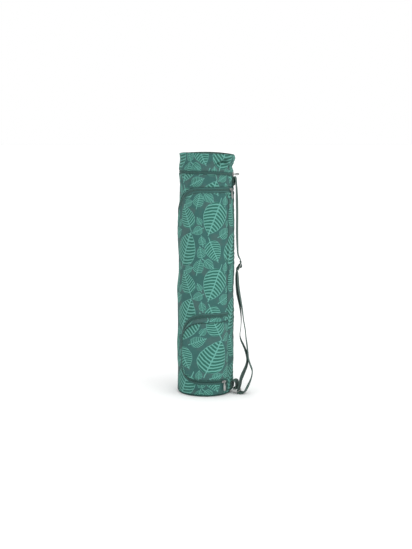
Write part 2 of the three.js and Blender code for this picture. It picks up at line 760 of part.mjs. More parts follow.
// Rows of one of the strap's tables as places and yaws between two heights
function strapRun(table, low, high) {
  return table.map(({ at, out, fore, yaw }) => {
    const z = THREE.MathUtils.lerp(low, high, at);
    return { place: new THREE.Vector3(radius + out * strapReach, -fore * strapWidth, z), yaw };
  });
}

const halfStrap = strapThickness / 2;
const adjusterMiddle = new THREE.Vector3(radius + adjusterOut, -adjusterFore, adjusterHeight);
const leanSine = Math.sin(adjusterLean * degree);
const leanCosine = Math.cos(adjusterLean * degree);
const adjusterDown = new THREE.Vector3(-leanSine, 0, -leanCosine);
const adjusterOutward = new THREE.Vector3(leanCosine, 0, -leanSine);

// A point beside the adjuster: down along it and outwards from its plate
function byAdjuster(down, outward) {
  return adjusterMiddle.clone()
    .addScaledVector(adjusterDown, down)
    .addScaledVector(adjusterOutward, outward);
}

// The strap, from its sewn foot to the end hooked round the adjuster's middle bar
function strapRoute() {
  const onSide = (z, standoff) => {
    const distance = skin(strapTurn, z) + seatGap + halfStrap + standoff;
    return { place: new THREE.Vector3(...onTurn(strapTurn, distance, z)), yaw: 90 - strapTurn };
  };
  const foot = [
    onSide(strapFootHeight, strapFootLift),
    onSide((strapFootHeight + strapArchHeight) / 2, strapFootLift),
    onSide(strapArchHeight, strapFootLift),
    onSide(strapArchHeight + strapArchRise * 0.45, strapArchRise * 0.5),
    onSide(strapArchHeight, strapArchRise),
  ];
  const layer = strapThickness + clearance;
  const beside = adjusterThickness / 2 + clearance + halfStrap;
  const over = beside + layer;
  const pass = [
    byAdjuster(-adjusterBarPitch - adjusterBar, -beside),
    byAdjuster(-adjusterBarPitch, -beside - clearance),
    byAdjuster(-adjusterBarPitch + adjusterBar * 0.9, -beside),
    byAdjuster(-adjusterBarPitch * 0.56, beside * 0.3),
    byAdjuster(-adjusterBar * 1.4, over - layer * 0.3),
    byAdjuster(-adjusterBar / 2, over + clearance),
    byAdjuster(adjusterBar * 0.6, over),
    byAdjuster(adjusterBarPitch * 0.45, beside * 0.6),
    byAdjuster(adjusterBarPitch - adjusterBar * 0.9, -beside),
    byAdjuster(adjusterBarPitch, -beside - clearance),
    byAdjuster(adjusterBarPitch + adjusterBar, -beside),
  ].map((place) => ({ place, yaw: 0 }));
  const wrap = ringWire / 2 + clearance + halfStrap;
  const roundBar = ringWrap.map((angle) => ({
    place: inRingPlane(
      strapBar.out + wrap * Math.cos(angle * degree),
      strapBar.z + wrap * Math.sin(angle * degree),
    ),
    yaw: 90 - ringTurn,
  }));
  const corner = (clearance + halfStrap) * 0.75;
  const hook = [
    byAdjuster(adjusterBarPitch + adjusterBar, -over),
    byAdjuster(adjusterBarPitch, -over - clearance),
    byAdjuster(adjusterBarPitch / 2, -over + layer * 0.4),
    byAdjuster(0, -beside),
    byAdjuster(-adjusterBar / 2 - corner, -adjusterThickness / 2 - corner),
    byAdjuster(-adjusterBar / 2 - clearance - halfStrap, 0),
    byAdjuster(-adjusterBar / 2 - corner, adjusterThickness / 2 + corner),
    byAdjuster(0, beside),
  ].map((place) => ({ place, yaw: 0 }));
  return [
    ...foot, ...strapRun(upperRun, adjusterHeight, strapArchHeight), ...pass,
    ...strapRun(outerRun, 0, adjusterHeight), ...roundBar,
    ...strapRun(innerRun, 0, adjusterHeight), ...hook,
  ];
}

// The tab: up from the base seam, out over an arch, and round the ring's near bar
function tabRoute() {
  const wrap = ringWire / 2 + clearance + halfStrap;
  const onSide = (z) => skin(ringTurn, z) + seatGap + halfStrap;
  const arch = (tabBar.out + wrap - onSide(tabArchHeight)) / 2;
  const archOut = onSide(tabArchHeight) + arch;
  const places = [
    [onSide(tabFootHeight), tabFootHeight],
    [onSide((tabFootHeight + tabArchHeight) / 2), (tabFootHeight + tabArchHeight) / 2],
    [onSide(tabArchHeight), tabArchHeight],
    [archOut - arch * 0.7, tabArchHeight + arch * 0.5],
    [archOut, tabArchHeight + arch * 0.7],
    [archOut + arch * 0.7, tabArchHeight + arch * 0.4],
    [tabBar.out + wrap, tabArchHeight - arch * 0.3],
    [tabBar.out + wrap, tabBar.z + wrap],
    [tabBar.out + wrap, tabBar.z],
    [tabBar.out + wrap * 0.7, tabBar.z - wrap * 0.7],
    [tabBar.out, tabBar.z - wrap],
    [tabBar.out - wrap * 0.7, tabBar.z - wrap * 0.7],
    [tabBar.out - wrap, tabBar.z],
    [tabBar.out - wrap, tabBar.z + wrap * 1.6],
  ];
  return places.map(([out, z]) => ({ place: inRingPlane(out, z), yaw: 90 - ringTurn }));
}

// Materials, in the colours of the photo
const printedCloth = new THREE.MeshStandardMaterial({ color: 0x437a6c, roughness: 0.9, metalness: 0 });
const plainCloth = new THREE.MeshStandardMaterial({ color: 0x3b5f58, roughness: 0.9, metalness: 0 });
const zipCloth = new THREE.MeshStandardMaterial({ color: 0x44685f, roughness: 0.8, metalness: 0 });
const strapCloth = new THREE.MeshStandardMaterial({ color: 0x4a6e62, roughness: 0.85, metalness: 0 });
const nickel = new THREE.MeshStandardMaterial({ color: 0xc9cbc8, roughness: 0.28, metalness: 1 });

const bag = new THREE.Group();

function addPiece(name, geometry, material, parent = bag) {
  const mesh = new THREE.Mesh(geometry, material);
  mesh.name = name;
  parent.add(mesh);
  return mesh;
}

addPiece('base_panel', basePanel(), plainCloth);
addPiece('base_piping', basePiping(), plainCloth);
addPiece('front_panel', frontPanel(), printedCloth);
addPiece('side_panel', sidePanel(), printedCloth);
addPiece('upper_panel', upperPanel(), printedCloth);
addPiece('back_panel', backPanel(), printedCloth);
addPiece('collar', collarPiece(), printedCloth);
addPiece('main_zip_tape', mainZipTape(), zipCloth);
addPiece('collar_zip_tape', collarZipTape(), zipCloth);
addPiece('pocket_zip_tape', pocketTape(), zipCloth);
addPiece('pocket_gusset', pocketGusset(), printedCloth);
addPiece('pocket_front', pocketFront(), printedCloth);

// A slider and its pull on the bag's outside. Roll turns the pair about the outward direction,
// and swing lifts the pull off the cloth.
function addZipEnd(name, { turn, z, lift, roll = 0, swing = 0 }) {
  const seat = new THREE.Group();
  seat.position.set(...onTurn(turn, skin(turn, z) + lift + seatGap, z));
  seat.rotation.z = turn * degree;
  const rolled = new THREE.Group();
  rolled.rotation.y = roll * degree;
  seat.add(rolled);
  bag.add(seat);
  addPiece(`${name}_slider`, sliderGeometry(), nickel, rolled);
  const pull = addPiece(`${name}_pull`, pullGeometry(), nickel, rolled);
  pull.position.set(0, -sliderThickness - bridgeRise + bridgeWire + clearance + pullThickness / 2, 0);
  pull.rotation.x = -swing * degree;
}

addZipEnd('main_zip', { turn: mainSliderTurn, z: mainZipHeight, lift: 0, swing: 4 });
addZipEnd('pocket_zip', {
  turn: pocketSliderTurn, z: pocketBottom + pocketTapeWidth / 2, lift: seatGap + tapeWall, swing: 4,
});
addZipEnd('collar_zip', {
  turn: collarSliderTurn, z: seamHeight(collarSliderTurn), lift: 0, roll: -90, swing: collarPullLift,
});

addPiece('shoulder_strap', webbing(strapRoute()), strapCloth);
addPiece('strap_tab', webbing(tabRoute()), strapCloth);
addPiece('strap_ring', ringGeometry(), nickel);

// The adjuster's bars lie along Y, and its long side follows the strap
const adjuster = addPiece('strap_adjuster', adjusterGeometry(), nickel);
adjuster.position.copy(adjusterMiddle);
adjuster.setRotationFromMatrix(new THREE.Matrix4().makeBasis(
  new THREE.Vector3(0, 1, 0),
  adjusterDown,
  new THREE.Vector3().crossVectors(new THREE.Vector3(0, 1, 0), adjusterDown),
));

export default bag;
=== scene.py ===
"""A printed cloth bag for a rolled yoga mat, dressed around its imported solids.

Metres, +Z up, the front of the bag towards -Y and the shoulder strap on its +X side.
A place on the cloth is given by its turn, in degrees from the front towards +X, and its height.
"""
import math

import bmesh
import bpy
import numpy as np
from mathutils import Matrix, Vector


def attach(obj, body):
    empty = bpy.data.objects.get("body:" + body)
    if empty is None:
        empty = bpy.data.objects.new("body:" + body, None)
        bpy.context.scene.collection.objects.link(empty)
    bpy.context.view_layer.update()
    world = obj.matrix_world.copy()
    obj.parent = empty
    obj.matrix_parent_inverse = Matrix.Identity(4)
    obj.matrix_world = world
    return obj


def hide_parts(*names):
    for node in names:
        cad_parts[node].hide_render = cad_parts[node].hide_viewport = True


bl_info = {
    "name": "Yoga Mat Bag",
    "version": (1, 0, 0),
    "blender": (4, 5, 0),
    "location": "3D View > Sidebar > Mat Bag",
    "description": "Builds a printed cloth mat bag with zips, a pocket and a webbing strap",
    "category": "Add Mesh",
}

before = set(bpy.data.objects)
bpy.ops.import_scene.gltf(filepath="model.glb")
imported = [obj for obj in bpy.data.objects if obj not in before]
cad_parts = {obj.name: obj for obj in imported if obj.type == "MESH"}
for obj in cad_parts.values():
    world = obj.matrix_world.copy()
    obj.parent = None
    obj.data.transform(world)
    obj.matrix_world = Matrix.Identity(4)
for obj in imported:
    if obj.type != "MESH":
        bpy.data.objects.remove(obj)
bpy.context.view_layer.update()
MM = 0.001


def linear(red, green, blue):
    """A screen colour, 0 to 255 a channel, as scene-linear numbers"""
    shares = [channel / 255 for channel in (red, green, blue)]
    return tuple(s / 12.92 if s <= 0.04045 else ((s + 0.055) / 1.055) ** 2.4 for s in shares)


def named_rows(columns, *rows):
    """A table: each row by the names of its columns"""
    return [dict(zip(columns.split(), row)) for row in rows]


def length_property(name, description, default):
    return bpy.props.FloatProperty(
        name=name, description=description, default=default, unit="LENGTH")


def colour_property(name, description, default):
    return bpy.props.FloatVectorProperty(
        name=name, description=description, default=default, subtype="COLOR")


class MatBagSizes(bpy.types.PropertyGroup):
    """Sizes of the bag"""

    diameter: length_property("Diameter", "Width of the filled tube", 0.160)
    tube_height: length_property("Tube height", "Base to the collar's seam", 0.628)
    collar_height: length_property("Collar height", "Collar's seam to its rim", 0.052)
    wall: length_property("Cloth", "Thickness of the canvas", 0.0011)
    stitch: length_property("Stitch", "Length from one stitch to the next", 0.0034)
    thread: length_property("Thread", "Thickness of the sewing thread", 0.00055)
    tooth: length_property("Zip pitch", "Length from one zip tooth to the next", 0.0013)
    strap_width: length_property("Strap width", "Width of the webbing", 0.030)
    strap_thickness: length_property("Strap thickness", "Thickness of the webbing", 0.002)


class MatBagColours(bpy.types.PropertyGroup):
    """Colours of the bag"""

    ground: colour_property("Ground", "Cloth between the leaves", linear(54, 96, 92))
    shadow_ground: colour_property("Grey ground", "Greyer patches of the ground", linear(65, 96, 93))
    leaf: colour_property("Leaf", "Cloth between a leaf's veins", linear(47, 98, 87))
    vein: colour_property("Veins", "Veins and rims of the leaves", linear(97, 158, 147))
    reverse: colour_property("Reverse", "Unprinted inner face of the cloth", linear(98, 132, 124))
    plain: colour_property("Plain cloth", "Base and piping", linear(52, 84, 79))
    tape: colour_property("Zip tape", "Woven tape of the zips", linear(60, 101, 96))
    coil: colour_property("Zip teeth", "Coil of the zips", linear(55, 95, 89))
    thread: colour_property("Thread", "Sewing thread", linear(78, 124, 115))
    webbing: colour_property("Webbing", "Shoulder strap and tab", linear(62, 88, 81))
    floor: colour_property("Floor", "Floor and backdrop", (0.93, 0.93, 0.93))


def sizes():
    return bpy.context.scene.mat_bag_sizes


def colours():
    return bpy.context.scene.mat_bag_colours


# The tube and its seams
RADIUS = 0.080
GAP = 0.0003
SEAT_GAP = 0.00055
PIPING = 0.004
PIPING_STANDOFF = 0.0006
SEAM_TURN = 50.0
BACK_SEAM_TURN = 95.0

# The long zip
MAIN_TAPE = 0.014
MAIN_ZIP_BAND = 0.048
MAIN_ZIP_DROP = 0.290
MAIN_BEND_TURN = -15.0
MAIN_SIDE_TURN = -120.0
MAIN_SLIDER_TURN = 60.0

# The zip under the collar
COLLAR_TAPE = 0.007
COLLAR_SLIDER_TURN = 72.0
COLLAR_PULL_LIFT = 18.0

# The pocket
POCKET_TOP = 0.237
POCKET_FOOT = 0.036
POCKET_LEFT_TURN = -57.0
POCKET_TOP_BEND = (-3.0, 0.077)
POCKET_FOOT_BEND = (-12.0, 0.044)
POCKET_TAPE = 0.010
POCKET_DEPTH = 0.011
POCKET_CROWN = 0.004
POCKET_SHOULDER = 0.034
GUSSET = (0.013, 0.006, 0.004)
TAPE_WALL = 0.0014
CAD_CLOTH = 0.002
POCKET_SLIDER_TURN = 37.0

# Strap, adjuster, ring and tab
STRAP_REACH = 0.052
STRAP_TURN = 80.0
STRAP_FOOT_DROP = 0.038
STRAP_ARCH_DROP = 0.016
STRAP_ARCH_RISE = 0.0046
STRAP_FOOT_LIFT = 0.0003
ADJUSTER_HEIGHT = 0.363
ADJUSTER_OUT = 0.0155
ADJUSTER_FORE = 0.008
ADJUSTER_LEAN = 20.0
BAR_PITCH = 0.0115
BAR = 0.0028
SIDE_BAR = 0.003
ADJUSTER_PLATE = 0.0026
RING_TURN = 70.0
RING_WIRE = 0.003
RING_SLOT = 0.009
RING_LEAN = 40.0
RING_HEIGHT = 0.0145
RING_OUT = 0.0135
RING_WRAP = (-115, -150, -185, -215)
TAB_FOOT = 0.009
TAB_ARCH = 0.033
HARDWARE_PLAY = 0.001

# Sections of the tube: height as a share of the tube, radii as shares of its radius
TUBE_SECTIONS = named_rows(
    "at left right front back",
    (0.000, 0.965, 0.850, 0.945, 0.950), (0.008, 1.012, 0.905, 0.985, 0.985),
    (0.027, 1.022, 0.972, 1.000, 1.000), (0.119, 1.012, 0.973, 1.004, 0.996),
    (0.157, 1.034, 0.992, 1.000, 1.000), (0.213, 1.037, 0.994, 0.998, 1.004),
    (0.287, 1.008, 0.981, 1.000, 1.000), (0.416, 1.005, 0.998, 1.006, 0.996),
    (0.470, 1.020, 0.976, 1.002, 1.000), (0.562, 0.974, 0.999, 0.996, 1.005),
    (0.616, 0.984, 0.992, 1.000, 1.000), (0.741, 1.005, 1.002, 1.006, 0.996),
    (0.832, 0.982, 1.000, 1.004, 0.998), (0.872, 0.930, 0.990, 1.000, 0.992),
    (0.938, 0.918, 0.975, 0.980, 0.985), (1.000, 0.944, 0.963, 0.972, 0.975))

# Sections of the collar: height as a share of the collar, radii as shares of the tube's radius
COLLAR_SECTIONS = named_rows(
    "at left right front back",
    (0.00, 0.944, 0.963, 0.972, 0.975), (0.16, 0.948, 0.945, 0.970, 0.968),
    (0.37, 0.944, 0.905, 0.960, 0.955), (0.58, 0.920, 0.962, 0.968, 0.962),
    (0.80, 0.918, 1.014, 0.984, 0.975), (1.00, 0.932, 0.975, 0.972, 0.966))

# Rim of the collar: how far it rises or dips, as a share of the collar's height
RIM_WAVES = named_rows(
    "turn rise",
    (-180, 0.02), (-90, -0.03), (-48, 0.05), (0, 0.00), (50, -0.05), (90, -0.09), (180, 0.02))

# The collar's seam dips on the strap's side, by a share of the collar's height
SEAM_DIP = dict(turn=78.0, spread=48.0, share=0.14)

# Folds pressed into the cloth: turn, height as a share of the whole bag, length, width and depth
# as shares of the diameter, and slope in degrees
FOLDS = named_rows(
    "turn at run width depth slope",
    (36, 0.965, 0.150, 0.030, 0.024, 22), (74, 0.951, 0.110, 0.034, 0.020, -14),
    (46, 0.938, 0.070, 0.030, 0.012, -40), (-22, 0.955, 0.060, 0.030, 0.012, 35),
    (-62, 0.970, 0.080, 0.030, 0.012, -20), (140, 0.960, 0.120, 0.032, 0.018, 16),
    (-150, 0.955, 0.110, 0.032, 0.016, -18), (20, 0.800, 0.300, 0.090, 0.006, 10),
    (-62, 0.560, 0.340, 0.110, 0.008, -12), (28, 0.420, 0.260, 0.090, 0.006, -8),
    (150, 0.640, 0.420, 0.120, 0.009, 14), (-165, 0.300, 0.420, 0.120, 0.009, -14))

# Small creases of the cloth alone, in the same terms
CREASES = named_rows(
    "turn at run width depth slope",
    (37, 0.966, 0.190, 0.013, 0.0210, 17), (47, 0.962, 0.080, 0.026, 0.0170, 8),
    (30, 0.950, 0.090, 0.012, 0.0070, -32), (58, 0.944, 0.090, 0.014, 0.0100, -46),
    (62, 0.944, 0.090, 0.014, 0.0095, 44), (-25, 0.952, 0.060, 0.012, 0.0080, 74),
    (-44, 0.956, 0.090, 0.012, 0.0060, -24), (-62, 0.948, 0.070, 0.012, 0.0060, 62),
    (8, 0.962, 0.080, 0.014, 0.0040, 12), (100, 0.966, 0.110, 0.014, 0.0060, 20),
    (125, 0.946, 0.090, 0.012, 0.0055, -34), (165, 0.962, 0.100, 0.012, 0.0055, 28),
    (-130, 0.960, 0.100, 0.012, 0.0055, -26), (-95, 0.956, 0.080, 0.012, 0.0045, 30),
    (-100, 0.900, 0.240, 0.022, 0.0050, -64), (-84, 0.880, 0.200, 0.020, 0.0045, 58),
    (-30, 0.890, 0.200, 0.018, 0.0030, 8), (30, 0.885, 0.160, 0.018, 0.0028, -10),
    (-48, 0.330, 0.160, 0.020, 0.0035, 48), (-72, 0.120, 0.240, 0.022, 0.0035, 72),
    (62, 0.300, 0.260, 0.020, 0.0035, 74), (70, 0.080, 0.160, 0.020, 0.0040, 58),
    (-20, 0.030, 0.260, 0.018, 0.0030, 6), (24, 0.034, 0.200, 0.018, 0.0030, -9),
    (120, 0.820, 0.300, 0.026, 0.0045, 64), (175, 0.780, 0.340, 0.028, 0.0045, -68),
    (-150, 0.560, 0.360, 0.030, 0.0050, 62), (135, 0.420, 0.360, 0.028, 0.0045, -58),
    (-170, 0.140, 0.300, 0.024, 0.0045, 70), (110, 0.110, 0.260, 0.022, 0.0045, -66))

# The strap between the adjuster and its arch: height as a share of the way from one to the other,
# distance from the bag's side as a share of the reach, distance to the front as a share of the
# strap's width, and yaw in degrees
UPPER_RUN = named_rows(
    "at out fore yaw",
    (0.913, 0.092, 0.46, 8), (0.774, 0.125, 0.42, 12), (0.603, 0.142, 0.36, 12),
    (0.378, 0.145, 0.32, 12), (0.232, 0.165, 0.30, 10), (0.118, 0.215, 0.28, 6))

# Outer layer of the strap, from the adjuster down to the ring: height as a share of the adjuster's
OUTER_RUN = named_rows(
    "at out fore yaw",
    (0.939, 0.180, 0.27, 8), (0.891, 0.200, 0.28, 10), (0.848, 0.220, 0.29, 10),
    (0.787, 0.280, 0.31, 9), (0.699, 0.390, 0.36, 7), (0.633, 0.462, 0.42, 5),
    (0.571, 0.515, 0.50, 3), (0.502, 0.600, 0.60, 3), (0.436, 0.648, 0.76, 4),
    (0.381, 0.700, 0.96, 6), (0.329, 0.735, 1.16, 7), (0.277, 0.775, 1.36, 6),
    (0.235, 0.865, 1.48, 5), (0.194, 0.970, 1.56, 5), (0.159, 0.965, 1.56, 8),
    (0.114, 0.885, 1.51, 14), (0.073, 0.770, 1.46, 20), (0.033, 0.650, 1.39, 20),
    (0.008, 0.535, 1.31, 20))

# Inner layer of the strap, from the ring up to the adjuster: height as a share of the adjuster's
INNER_RUN = named_rows(
    "at out fore yaw",
    (0.064, 0.305, 1.16, 20), (0.100, 0.355, 1.20, 20), (0.138, 0.430, 1.25, 25),
    (0.173, 0.520, 1.30, 26), (0.208, 0.620, 1.34, 23), (0.242, 0.690, 1.34, 16),
    (0.277, 0.715, 1.31, 12), (0.311, 0.680, 1.21, 10), (0.346, 0.605, 1.08, 8),
    (0.381, 0.500, 0.96, 6), (0.415, 0.385, 0.83, 4), (0.443, 0.325, 0.75, 3),
    (0.471, 0.320, 0.68, 3), (0.512, 0.360, 0.59, 3), (0.562, 0.385, 0.51, 3),
    (0.626, 0.365, 0.43, 5), (0.695, 0.295, 0.37, 8), (0.782, 0.170, 0.31, 10),
    (0.848, 0.125, 0.29, 10), (0.900, 0.110, 0.28, 10), (0.939, 0.108, 0.27, 8))

# The print's repeat, and its leaves: middle of each leaf, direction of its tip in degrees,
# length and width, all in metres on the flat cloth
PRINT_REPEAT = (0.156, 0.184)
LEAVES = named_rows(
    "s z tip length width",
    (0.036, 0.134, 248, 0.092, 0.068), (0.106, 0.048, 68, 0.096, 0.070),
    (0.110, 0.138, 112, 0.064, 0.048), (0.034, 0.044, 292, 0.062, 0.046),
    (0.144, 0.100, 205, 0.031, 0.024), (0.069, 0.092, 25, 0.040, 0.029),
    (0.147, 0.001, 75, 0.040, 0.030), (0.020, 0.007, 320, 0.034, 0.026),
    (0.154, 0.040, 100, 0.032, 0.024), (0.149, 0.127, 120, 0.022, 0.017),
    (0.116, 0.176, 20, 0.028, 0.021), (0.081, 0.120, 60, 0.022, 0.017),
    (0.001, 0.073, 100, 0.026, 0.020), (0.071, 0.181, 85, 0.024, 0.018))
LEAF_BASE_POWER = 0.50
LEAF_TIP_POWER = 0.80

# How an edge of cloth is finished, in metres: radius of its roll, height and width of the seam
# allowance under it, depth and distance of the stitched groove, and size and length of its puckers
TOPSTITCHED = dict(roll=0.0011, ridge=0.00035, width=0.0065, groove=0.00030, stitch=0.0030,
                   pucker=0.00035, wave=0.0105)
SEAMED = dict(roll=0.0018, ridge=0.0, width=0.004, groove=0.0, stitch=0.003,
              pucker=0.00045, wave=0.0150)
PIPED = dict(roll=0.0012, ridge=0.0, width=0.004, groove=0.0, stitch=0.003,
             pucker=0.00060, wave=0.0120)
HEMMED = dict(roll=0.0011, ridge=0.00045, width=0.0105, groove=0.00035, stitch=0.0090,
              pucker=0.00045, wave=0.0130)
BOUND = dict(roll=0.0009, ridge=0.0, width=0.003, groove=0.0002, stitch=0.0022,
             pucker=0.00020, wave=0.0090)

# How far from an edge its puckers begin, and over what length they fade
PUCKER_START = 0.0022
PUCKER_FADE = 0.009

# The cloth's mesh: steps from an edge inwards and the most that they take of a short row, the step
# elsewhere, the steps round the collar, and the rows of the upper panel
EDGE_STEPS = np.array([0, 0.35, 0.8, 1.4, 2.1, 3.0, 4.2, 5.8]) * MM
EDGE_SHARE = 0.45
CLOTH_STEP = 0.0026
COLLAR_STEPS = 216
UPPER_PANEL_ROWS = 84

# Slow waves of slack cloth: how many, the size of the largest, and their usual height
WAVE_SEED = 11
WAVE_COUNT = 34
WAVE_SIZE = 0.00038
WAVE_HEIGHT = 0.13
GATHER_DEPTH = 0.00075

# Depth of a crease and of a fold at which its painted shade is full, and how much painted shade each then
# has
COLLAR_FOLDS = FOLDS[:7]
CREASE_FULL, CREASE_SHADE = 0.0019, 0.85
FOLD_FULL, FOLD_SHADE = 0.0035, 0.45
# How far painted shade reaches from an edge, and how much the fullest painted shade darkens the colour
EDGE_SHADE_REACH = 0.0016
SHADE_DARKNESS = 0.62

# Rows of stitches: height above the cloth, and how far before a seam and above the foot they end
STITCH_LIFT = 0.00012
ROW_END = 0.002
ROW_FOOT = 0.004
BACK_ROW_ENDS = (1.5, 6.0)

# Zip tapes: the part under the cloth, the cord near each border, how deep the face lies, thickness
TAPE_MARGIN = 0.0011
TAPE_CORD = 0.00040
TAPE_SINK = 0.00100
TAPE_SHEET = 0.0006
TOOTH_THICKNESS = 0.00095
TOOTH_SINK = 0.00055
TOOTH_SHIFT = 0.40

# Threads to the metre
CANVAS_THREADS = 1350.0
TAPE_THREADS = 1900.0
WEBBING_THREADS = 1100.0

# The webbing: lengthwise ribs, their depth, and depth and length of the weft's rise and fall
WEBBING_RIBS = 12
RIB_DEPTH = 0.00012
PICK_DEPTH = 0.00005
PICK_LENGTH = 0.0056

# Stitched boxes that hold the webbing: inset from its borders and ends, and how far below the arch
BOX_INSET = 0.003
STRAP_BOX_DROP = 0.004
TAB_BOX_DROP = 0.006

# The base: height of its face near the rim and at the middle, and depth of its slack waves
BASE_TOP = 0.0019
BASE_MIDDLE = 0.0018
BASE_SLACK = 0.00018


def between(table, key, at, column):
    """Value of a column between the rows of a table, eased from row to row"""
    keys = np.array([row[key] for row in table], float)
    values = np.array([row[column] for row in table], float)
    row = np.clip(np.searchsorted(keys, at, side="right") - 1, 0, len(keys) - 2)
    share = np.clip((at - keys[row]) / (keys[row + 1] - keys[row]), 0, 1)
    return values[row] + (values[row + 1] - values[row]) * share * share * (3 - 2 * share)


def wrap_turn(turn):
    return (np.asarray(turn, float) + 180) % 360 - 180


def turn_of(length):
    return math.degrees(length / RADIUS)


def seam_height(turn):
    away = wrap_turn(np.asarray(turn) - SEAM_DIP["turn"]) / SEAM_DIP["spread"]
    dip = sizes().collar_height * SEAM_DIP["share"] * np.exp(-away * away)
    return sizes().tube_height - dip


def rim_height(turn):
    rise = between(RIM_WAVES, "turn", wrap_turn(turn), "rise")
    return sizes().tube_height + sizes().collar_height * (1 + rise)


def pressed(table, turn, z):
    """How deep a table's folds press the cloth in"""
    height = sizes().tube_height + sizes().collar_height
    diameter = 2 * RADIUS
    depth = np.zeros(np.broadcast(turn, z).shape)
    for fold in table:
        x = np.radians(wrap_turn(turn - fold["turn"])) * RADIUS
        y = z - fold["at"] * height
        c, s = math.cos(math.radians(fold["slope"])), math.sin(math.radians(fold["slope"]))
        along = (x * c + y * s) / (fold["run"] * diameter)
        across = (y * c - x * s) / (fold["width"] * diameter)
        depth += fold["depth"] * diameter * np.exp(-along * along * 2 - across * across)
    return depth


def skin(turn, z):
    """Distance of the solids' outer face from the bag's axis"""
    turn, z = np.asarray(turn, float), np.asarray(z, float)
    seam = seam_height(turn)
    in_collar = z > seam
    at = np.where(in_collar, (z - seam) / (rim_height(turn) - seam), z / seam)
    side, fore = np.sin(np.radians(turn)), np.cos(np.radians(turn))

    def section(table):
        left, right = between(table, "at", at, "left"), between(table, "at", at, "right")
        front, back = between(table, "at", at, "front"), between(table, "at", at, "back")
        beside = np.where(side > 0, right, left)
        return beside * side ** 2 + np.where(fore > 0, front, back) * fore ** 2

    share = np.where(in_collar, section(COLLAR_SECTIONS), section(TUBE_SECTIONS))
    return RADIUS * share - pressed(FOLDS, turn, z)


def soft_waves():
    """The slack of the cloth as a sum of slow waves, each whole round the tube"""
    draw = np.random.default_rng(WAVE_SEED)
    waves = []
    for _ in range(WAVE_COUNT):
        around = int(draw.integers(2, 15)) * (1 if draw.random() < 0.5 else -1)
        upward = draw.normal(0, 1) * 2 * math.pi / WAVE_HEIGHT
        size = WAVE_SIZE * draw.uniform(0.4, 1.0) * 5 / (4 + abs(around))
        waves.append((around, upward, draw.uniform(0, 2 * math.pi), size))
    return waves


SOFT_WAVES = soft_waves()


def cloth_waves(turn, z):
    angle = np.radians(turn)
    total = sum(size * np.cos(around * angle + upward * z + phase)
                for around, upward, phase, size in SOFT_WAVES)
    return total - pressed(CREASES, turn, z)


def on_turn(turn, distance, z):
    """Points at a turn, a distance from the axis and a height"""
    angle = np.radians(turn)
    return np.stack(np.broadcast_arrays(distance * np.sin(angle), -distance * np.cos(angle), z), -1)


def flat_place(turn, z):
    """Places on the unrolled cloth, in metres"""
    return np.stack(np.broadcast_arrays(np.radians(turn) * RADIUS, z), -1)


def nearest_on(line, places, most=160):
    """Distance from places to a line on the unrolled cloth, and how far along it they lie"""
    keep = np.unique(np.linspace(0, len(line) - 1, min(len(line), most)).round().astype(int))
    line = flat_place(line[keep, 0], line[keep, 1])
    starts, steps = line[:-1], np.diff(line, axis=0)
    squares = np.maximum((steps ** 2).sum(1), 1e-14)
    lengths = np.sqrt(squares)
    reach = np.concatenate([[0], np.cumsum(lengths)[:-1]])
    flat = places.reshape(-1, 2)
    away = np.empty(len(flat))
    along = np.empty(len(flat))
    for first in range(0, len(flat), 8000):
        part = flat[first:first + 8000, None, :] - starts[None]
        share = np.clip((part * steps).sum(2) / squares, 0, 1)
        gap = part - share[..., None] * steps
        square = (gap ** 2).sum(2)
        best = square.argmin(1)
        rows = np.arange(len(best))
        away[first:first + 8000] = np.sqrt(square[rows, best])
        along[first:first + 8000] = reach[best] + share[rows, best] * lengths[best]
    return away.reshape(places.shape[:-1]), along.reshape(places.shape[:-1])


def edge_relief(finish, away, along):
    """How an edge's roll, allowance, groove and puckers move the cloth"""
    roll = finish["roll"]
    inside = np.clip(1 - away / roll, 0, 1)
    drop = roll * (1 - np.sqrt(1 - inside ** 2))
    ridge = finish["ridge"] / (1 + np.exp((away - finish["width"]) / 0.0006))
    groove = finish["groove"] * np.exp(-((away - finish["stitch"]) / 0.0007) ** 2)
    wave = 2 * math.pi / finish["wave"]
    ripple = np.sin(along * wave + 1.7 * np.sin(along * wave / 4.3))
    ripple = ripple * (0.65 + 0.35 * np.sin(along * 37)) + 0.5 * np.sin(along * wave / 1.73 + 2.1)
    fade = np.exp(-away / PUCKER_FADE) * (1 - np.exp(-away / PUCKER_START))
    return ridge - drop - groove + finish["pucker"] * ripple * fade * 2.2


def graded(start, end, step, low=True, high=True):
    """Lengths from start to end, closer together at an end that carries an edge"""
    before = EDGE_STEPS if low else EDGE_STEPS[:1]
    after = EDGE_STEPS if high else EDGE_STEPS[:1]
    room = end - start - before[-1] - after[-1]
    middle = np.linspace(before[-1], end - start - after[-1], max(2, round(room / step)) + 1)
    return start + np.concatenate([before[:-1], middle, end - start - after[-2::-1]])


def graded_turns(start, end, low=True, high=True, step=CLOTH_STEP):
    scale = math.radians(1) * RADIUS
    return graded(start * scale, end * scale, step, low, high) / scale


def pairs(turns, z):
    return np.stack(np.broadcast_arrays(turns, z), -1).astype(float)


def new_object(name, points, faces, materials, smooth=True, face_materials=None):
    """A mesh object in the scene, with its place in its mesh"""
    mesh = bpy.data.meshes.new(name)
    mesh.from_pydata(np.asarray(points, float).reshape(-1, 3).tolist(), [],
                     faces.tolist() if isinstance(faces, np.ndarray) else faces)
    obj = bpy.data.objects.new(name, mesh)
    bpy.context.scene.collection.objects.link(obj)
    for material in materials:
        mesh.materials.append(material)
    mesh.polygons.foreach_set("use_smooth", np.full(len(mesh.polygons), smooth))
    if face_materials is not None:
        mesh.polygons.foreach_set("material_index", np.asarray(face_materials, np.int32))
    mesh.update()
    return obj


def set_flat_map(obj, places):
    """The UV map 'cloth' holds the place on the flat cloth, in metres"""
    mesh = obj.data
    layer = mesh.uv_layers.new(name="cloth")
    corner_vertex = np.empty(len(mesh.loops), np.int32)
    mesh.loops.foreach_get("vertex_index", corner_vertex)
    layer.data.foreach_set("uv", np.asarray(places, np.float32)[corner_vertex].ravel())


